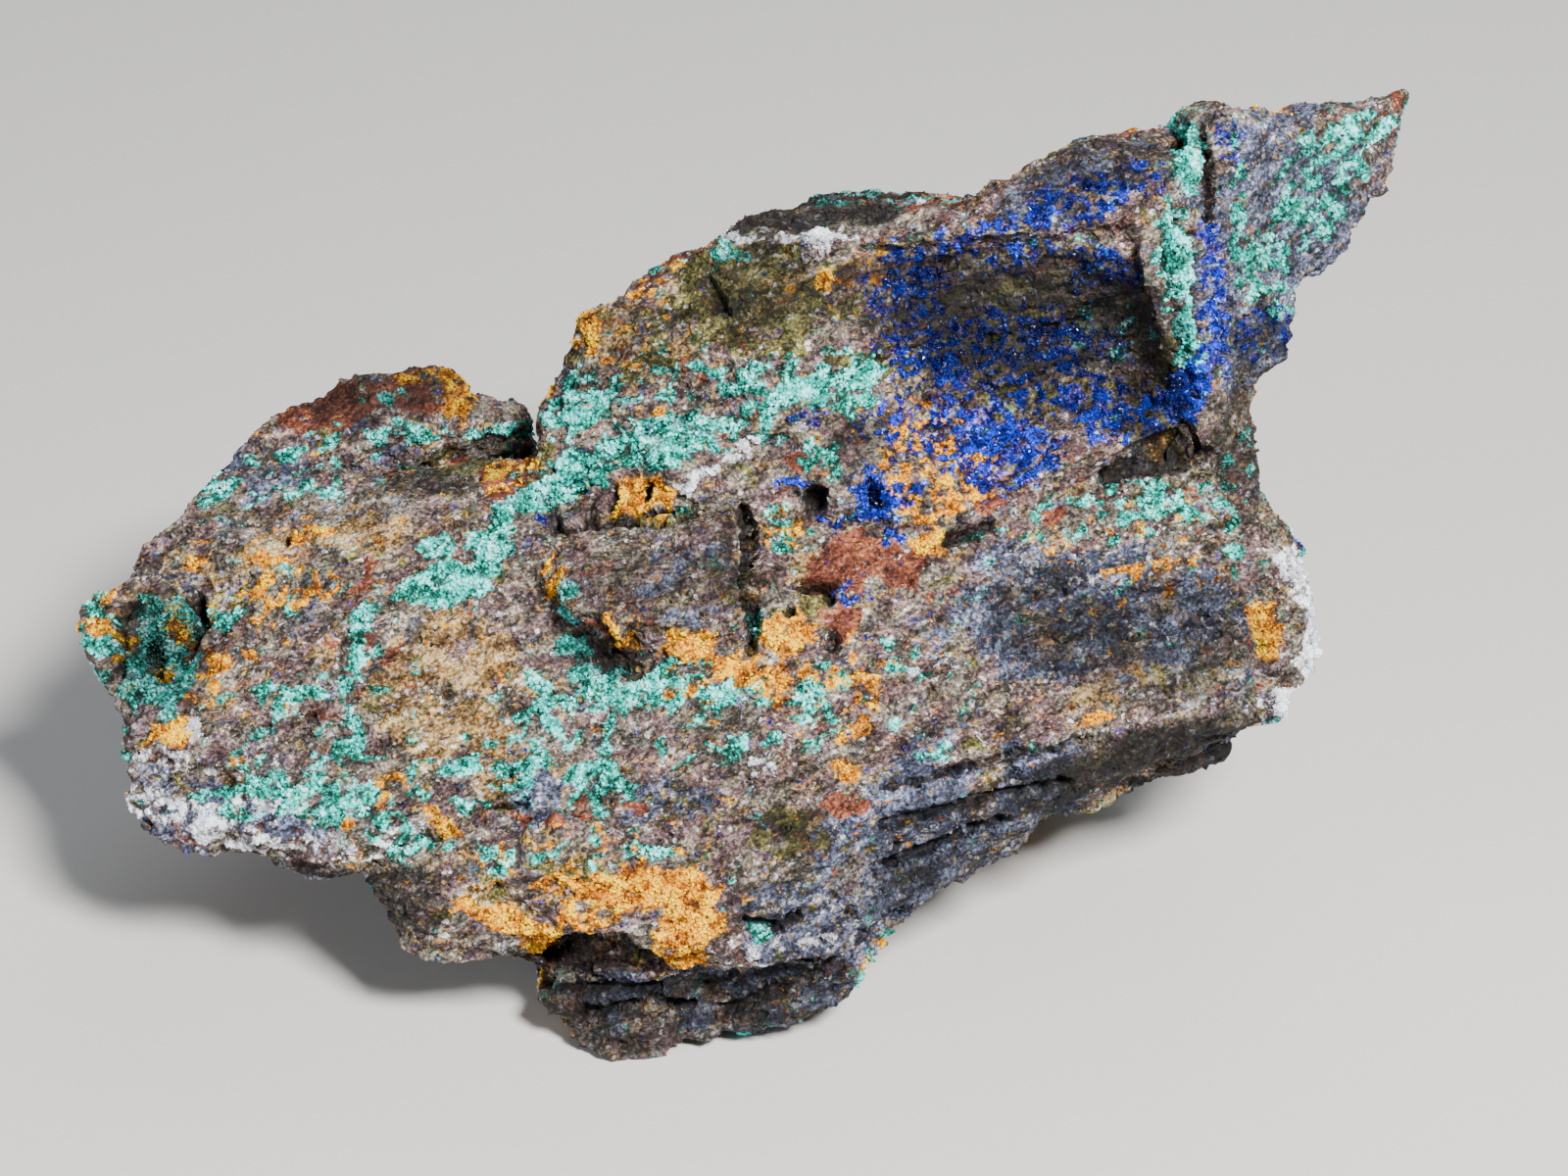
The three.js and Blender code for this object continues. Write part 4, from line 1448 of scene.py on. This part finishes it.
        # Painted shade: dark specks and thin dark cracks darken the colour where small pits and cracks lie
        # in shade.
        specks = finish.span(finish.noise(0.90 * MM, 4.0, finish.bedded), 0.44, 0.38)
        wave = finish.math("SUBTRACT", finish.noise(6.0 * MM, 6.0, finish.bedded), 0.5)
        crack_shade = finish.span(finish.math("ABSOLUTE", wave, 0.0), 0.010, 0.002)
        crevice_shade = finish.math("MULTIPLY", finish.math("MAXIMUM", specks, crack_shade), 0.85)
        colour = finish.mix(crevice_shade, colour, (*self.crevice_shade_colour, 1.0), "MULTIPLY")
        # Painted shade and darker tone from the stone's marks.
        colour = finish.mix(1.0, colour, finish.shade(self.darkest), "MULTIPLY")
        tint = finish.math("MULTIPLY_ADD", finish.mark(TINT), 0.4, 0.8)
        colour = finish.mix(1.0, colour, tint, "MULTIPLY")
        finish.give("Base Color", colour)
        gloss = finish.math("MAXIMUM", azurite, quartz)
        sparkle = finish.span(finish.noise(0.20 * MM, 1.0), 0.50, 0.65)
        finish.give("Roughness", finish.blend(finish.math("MULTIPLY", gloss, sparkle), *self.roughness))
        facets = finish.cells(0.34 * MM)
        height = finish.blend(finish.math("MAXIMUM", gloss, malachite), fine, facets)
        finish.give("Normal", finish.bump(height, self.bump_depth))
        return finish.material

    def area(self, finish: Finish, mark: Mark, width: float) -> bpy.types.NodeSocket:
        """Give a mark a finely ragged edge.

        Args:
            finish: The material being built.
            mark: The mark.
            width: How wide the raggedness is, in millimetres.

        Returns:
            0 outside the mineral and 1 inside it.
        """
        ragged = finish.math("SUBTRACT", finish.noise(width * MM, 3.0), 0.5)
        shift = finish.math("MULTIPLY", ragged, self.raggedness)
        return finish.span(finish.math("ADD", finish.mark(mark.value), shift), *self.rim)


@dataclass(frozen=True)
class GrainFinish:
    """Small crystals or grains whose shades differ from one to the next."""

    name: str
    shades: Stops
    roughness: float
    coat: float = 0.0
    darkest: float = 0.10
    bump_depth: float = 0.05 * MM

    def make(self) -> bpy.types.Material:
        """Build the material.

        Returns:
            The grains' material.
        """
        finish = Finish(self.name)
        stain = finish.noise(0.35 * MM, 3.0)
        patch = finish.span(finish.noise(1.6 * MM, 4.0), 0.60, 0.40)
        shade = finish.blend(0.45, finish.blend(0.4, finish.mark(TINT), stain), patch)
        colour = finish.ramp(shade, self.shades)
        # Painted shade and darker tone of the rock beneath each grain.
        colour = finish.mix(1.0, colour, finish.shade(self.darkest), "MULTIPLY")
        finish.give("Base Color", colour)
        finish.give("Roughness", self.roughness)
        finish.give("Coat Weight", self.coat)
        finish.give("Normal", finish.bump(stain, self.bump_depth))
        return finish.material


class Form(Enum):
    """The shape of one grain."""

    CRYSTAL = "crystal"
    LUMP = "lump"
    CHIP = "chip"


def grain_shape(form: Form) -> tuple[np.ndarray, np.ndarray]:
    """Make the shape that a crust repeats.

    Args:
        form: Which one.

    Returns:
        Its points, about 1 across, and its triangles.
    """
    bm = bmesh.new()
    if form is Form.LUMP:
        bmesh.ops.create_uvsphere(bm, u_segments=5, v_segments=2, radius=0.5)
    elif form is Form.CRYSTAL:
        bmesh.ops.create_uvsphere(bm, u_segments=4, v_segments=2, radius=0.5)
        bmesh.ops.scale(bm, verts=bm.verts, vec=(0.9, 0.45, 1.2))
    else:
        bmesh.ops.create_cube(bm, size=0.8)
        askew = Vector((1, 2, 3)).to_track_quat().to_matrix()
        bmesh.ops.rotate(bm, verts=bm.verts, cent=(0, 0, 0), matrix=askew)
    bmesh.ops.triangulate(bm, faces=bm.faces)
    bm.verts.index_update()
    points = np.array([v.co for v in bm.verts])
    triangles = np.array([[v.index for v in face.verts] for face in bm.faces])
    bm.free()
    return points, triangles


@dataclass
class Crust:
    """Thousands of small grains on one mineral of the rock, or all over it, as one joined mesh.

    They stand where the mineral's mark is over least, and fully so from rim above it. The higher
    smallness is, the more of them are near the smallest size. raised is how high their middles stand
    over the rock, in their own sizes, and lean how far they lean at random.
    """

    name: str
    mark: Mark | None
    form: Form
    count: int
    smallest: float
    largest: float
    finish: "GrainFinish | RockFinish"
    seed: int
    least: float = 0.6
    rim: float = 0.2
    smallness: float = 2.2
    jitter: float = 0.25
    stretch: tuple[float, float] = (0.7, 1.3)
    raised: float = 0.18
    lean: float = 0.42
    clear_of_floor: float = 0.3 * MM

    def build(self, stone: Stone, rock: bpy.types.Object) -> bpy.types.Object:
        """Make the grains.

        Args:
            stone: The stone's marks.
            rock: The rock they grow on.

        Returns:
            The crust's object.
        """
        draw = np.random.default_rng(self.seed)
        spots, normals, owners = self.spots(stone, rock, draw)
        shape, triangles = grain_shape(self.form)
        count = len(spots)
        span = self.largest - self.smallest
        size = draw.uniform(0.0, 1.0, count) ** self.smallness * span + self.smallest
        upright = normals + self.lean * draw.normal(size=(count, 3))
        upright /= np.linalg.norm(upright, axis=1, keepdims=True)
        side = np.cross(upright, draw.normal(size=(count, 3)))
        side /= np.linalg.norm(side, axis=1, keepdims=True)
        other = np.cross(upright, side)
        uneven = shape[None] * (1.0 + self.jitter * draw.normal(size=(count, len(shape), 3)))
        uneven *= draw.uniform(*self.stretch, (count, 1, 3)) * size[:, None, None]
        turned = uneven[..., :1] * side[:, None] + uneven[..., 1:2] * other[:, None]
        turned = turned + uneven[..., 2:] * upright[:, None]
        points = turned + (spots + normals * (self.raised * size)[:, None])[:, None]
        points[..., 2] = np.maximum(points[..., 2], 0.0)
        offsets = np.arange(count)[:, None, None] * len(shape)
        mesh = bpy.data.meshes.new(self.name)
        faces = (triangles[None] + offsets).reshape(-1, 3)
        mesh.from_pydata(points.reshape(-1, 3), [], faces)
        keep(mesh, TINT, np.repeat(draw.random(count), len(shape)))
        # The grains carry the painted shade of the rock beneath them; the rock's chips carry all its marks.
        for mark in Mark if self.mark is None else (Mark.DARK, Mark.CAVITY_SHADE):
            keep(mesh, mark.value, np.repeat(stone.marks[mark][owners], len(shape)))
        mesh.polygons.foreach_set("use_smooth", np.full(len(faces), self.form is Form.LUMP))
        mesh.update()
        crust = bpy.data.objects.new(self.name, mesh)
        bpy.context.scene.collection.objects.link(crust)
        mesh.materials.append(self.finish.make())
        LOG.info("%s: %d grains, %d triangles", self.name, count, len(faces))
        return crust

    def spots(
        self, stone: Stone, rock: bpy.types.Object, draw: np.random.Generator
    ) -> tuple[np.ndarray, np.ndarray, np.ndarray]:
        """Choose where the grains stand.

        Args:
            stone: The stone's marks.
            rock: The rock they grow on.
            draw: Where the random numbers come from.

        Returns:
            The grains' places on the rock's surface, the surface's normals there, and the number of
            the rock's point that each grain stands by.
        """
        mesh = rock.data
        corners = np.empty(len(mesh.polygons) * 3, dtype=np.int64)
        mesh.polygons.foreach_get("vertices", corners)
        corners = corners.reshape(-1, 3)
        places = np.empty(len(mesh.vertices) * 3)
        mesh.vertices.foreach_get("co", places)
        a, b, c = (places.reshape(-1, 3)[corners[:, k]] for k in range(3))
        across = np.cross(b - a, c - a)
        area = np.linalg.norm(across, axis=1)
        weight = area * (places.reshape(-1, 3)[corners[:, 0], 2] > self.clear_of_floor)
        if self.mark is not None:
            strength = stone.marks[self.mark][corners].min(axis=1)
            weight *= smooth(strength, self.least, self.least + self.rim)
        chosen = draw.choice(len(corners), self.count, p=weight / weight.sum())
        first, second = np.sqrt(draw.random(self.count)), draw.random(self.count)
        shares = np.stack([1.0 - first, first * (1.0 - second), first * second])
        spots = sum(share[:, None] * corner[chosen] for share, corner in zip(shares, (a, b, c)))
        return spots, across[chosen] / area[chosen][:, None], corners[chosen, 0]


@dataclass(frozen=True)
class Lamp:
    """One square soft light, in metres and watts."""

    name: str
    place: tuple[float, float, float]
    size: float
    power: float
    colour: Colour

    def hang(self, aim: tuple[float, float, float]) -> None:
        """Make the light and point it.

        Args:
            aim: The point it shines at, in metres.
        """
        light = bpy.data.lights.new(self.name, "AREA")
        light.size = self.size
        light.energy = self.power
        light.color = self.colour
        holder = bpy.data.objects.new(self.name, light)
        bpy.context.scene.collection.objects.link(holder)
        holder.location = self.place
        ahead = Vector(aim) - Vector(self.place)
        holder.rotation_euler = ahead.to_track_quat("-Z", "Y").to_euler()


@dataclass(frozen=True)
class Studio:
    """The plain pale floor and the soft studio light, which shines at a point inside the stone."""

    floor_size: float = 3.0
    floor_drop: float = 0.05 * MM
    floor_colour: tuple[float, ...] = (0.62, 0.61, 0.60, 1.0)
    floor_roughness: float = 0.9
    lamps: tuple[Lamp, ...] = (
        Lamp("key", (0.20, -0.36, 0.44), 0.12, 10.0, (1.0, 0.98, 0.95)),
        Lamp("left fill", (-0.55, -0.35, 0.25), 0.30, 1.6, (0.92, 0.96, 1.0)),
        Lamp("back light", (0.10, 0.50, 0.45), 0.40, 1.5, (0.92, 0.96, 1.0)),
    )
    aim: tuple[float, float, float] = (0.0, 0.0, 0.03)
    sky_colour: tuple[float, ...] = (0.90, 0.94, 1.0, 1.0)
    sky_strength: float = 0.10

    def make(self) -> None:
        """Make the floor, the lamps and the sky."""
        bm = bmesh.new()
        bmesh.ops.create_grid(bm, x_segments=1, y_segments=1, size=self.floor_size)
        mesh = bpy.data.meshes.new("floor")
        bm.to_mesh(mesh)
        bm.free()
        floor = bpy.data.objects.new("floor", mesh)
        bpy.context.scene.collection.objects.link(floor)
        floor.location.z = -self.floor_drop
        paint = Finish("pale floor")
        paint.give("Base Color", self.floor_colour)
        paint.give("Roughness", self.floor_roughness)
        mesh.materials.append(paint.material)
        for lamp in self.lamps:
            lamp.hang(self.aim)
        world = bpy.data.worlds.new("studio")
        bpy.context.scene.world = world
        world.use_nodes = True
        background = world.node_tree.nodes["Background"]
        background.inputs["Color"].default_value = self.sky_colour
        background.inputs["Strength"].default_value = self.sky_strength


CRUSTS = (
    Crust(
        "azurite_druse",
        Mark.AZURITE,
        Form.CRYSTAL,
        count=24000,
        smallest=0.12 * MM,
        largest=0.42 * MM,
        finish=GrainFinish(
            "azurite crystals",
            (
                (0.20, (0.002, 0.004, 0.060)),
                (0.50, (0.006, 0.020, 0.340)),
                (0.80, (0.022, 0.075, 0.850)),
            ),
            roughness=0.2,
            coat=0.3,
        ),
        seed=31,
    ),
    Crust(
        "malachite_crust",
        Mark.MALACHITE,
        Form.LUMP,
        count=19000,
        smallest=0.12 * MM,
        largest=0.52 * MM,
        finish=GrainFinish(
            "malachite grains",
            (
                (0.20, (0.001, 0.110, 0.072)),
                (0.38, (0.008, 0.430, 0.350)),
                (0.56, (0.070, 0.880, 0.820)),
                (0.80, (0.560, 1.000, 1.000)),
            ),
            roughness=0.5,
        ),
        seed=32,
    ),
    Crust(
        "ochre_grains",
        Mark.OCHRE,
        Form.LUMP,
        count=12000,
        smallest=0.10 * MM,
        largest=0.42 * MM,
        finish=GrainFinish(
            "ochre grains",
            ((0.22, (0.26, 0.060, 0.000)), (0.42, (0.90, 0.37, 0.000)), (0.70, (1.00, 0.72, 0.01))),
            roughness=0.9,
        ),
        seed=33,
    ),
    Crust(
        "quartz_grains",
        Mark.QUARTZ,
        Form.CHIP,
        count=9000,
        smallest=0.10 * MM,
        largest=0.38 * MM,
        finish=GrainFinish(
            "quartz grains",
            ((0.20, (0.42, 0.42, 0.47)), (0.50, (0.72, 0.75, 0.84)), (0.80, (0.95, 0.97, 1.0))),
            roughness=0.3,
            coat=0.2,
        ),
        seed=34,
    ),
    Crust(
        "rock_chips",
        None,
        Form.CHIP,
        count=14000,
        smallest=0.12 * MM,
        largest=0.44 * MM,
        finish=RockFinish(),
        seed=35,
        raised=0.0,
    ),
)


def settle(piece: bpy.types.Object) -> None:
    """Let a piece move with the stone."""
    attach(piece, BODY)


def main() -> None:
    """Build the specimen, the stage and the camera."""
    logging.basicConfig(level=logging.INFO, format="%(name)s: %(message)s")
    eye = Eye()
    eye.make()
    Studio().make()
    stone = Stone(eye)
    rock = stone.build()
    rock.data.materials.append(RockFinish().make())
    settle(rock)
    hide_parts(ROCK_NODE)
    for crust in CRUSTS:
        settle(crust.build(stone, rock))


if __name__ == "__main__":
    main()
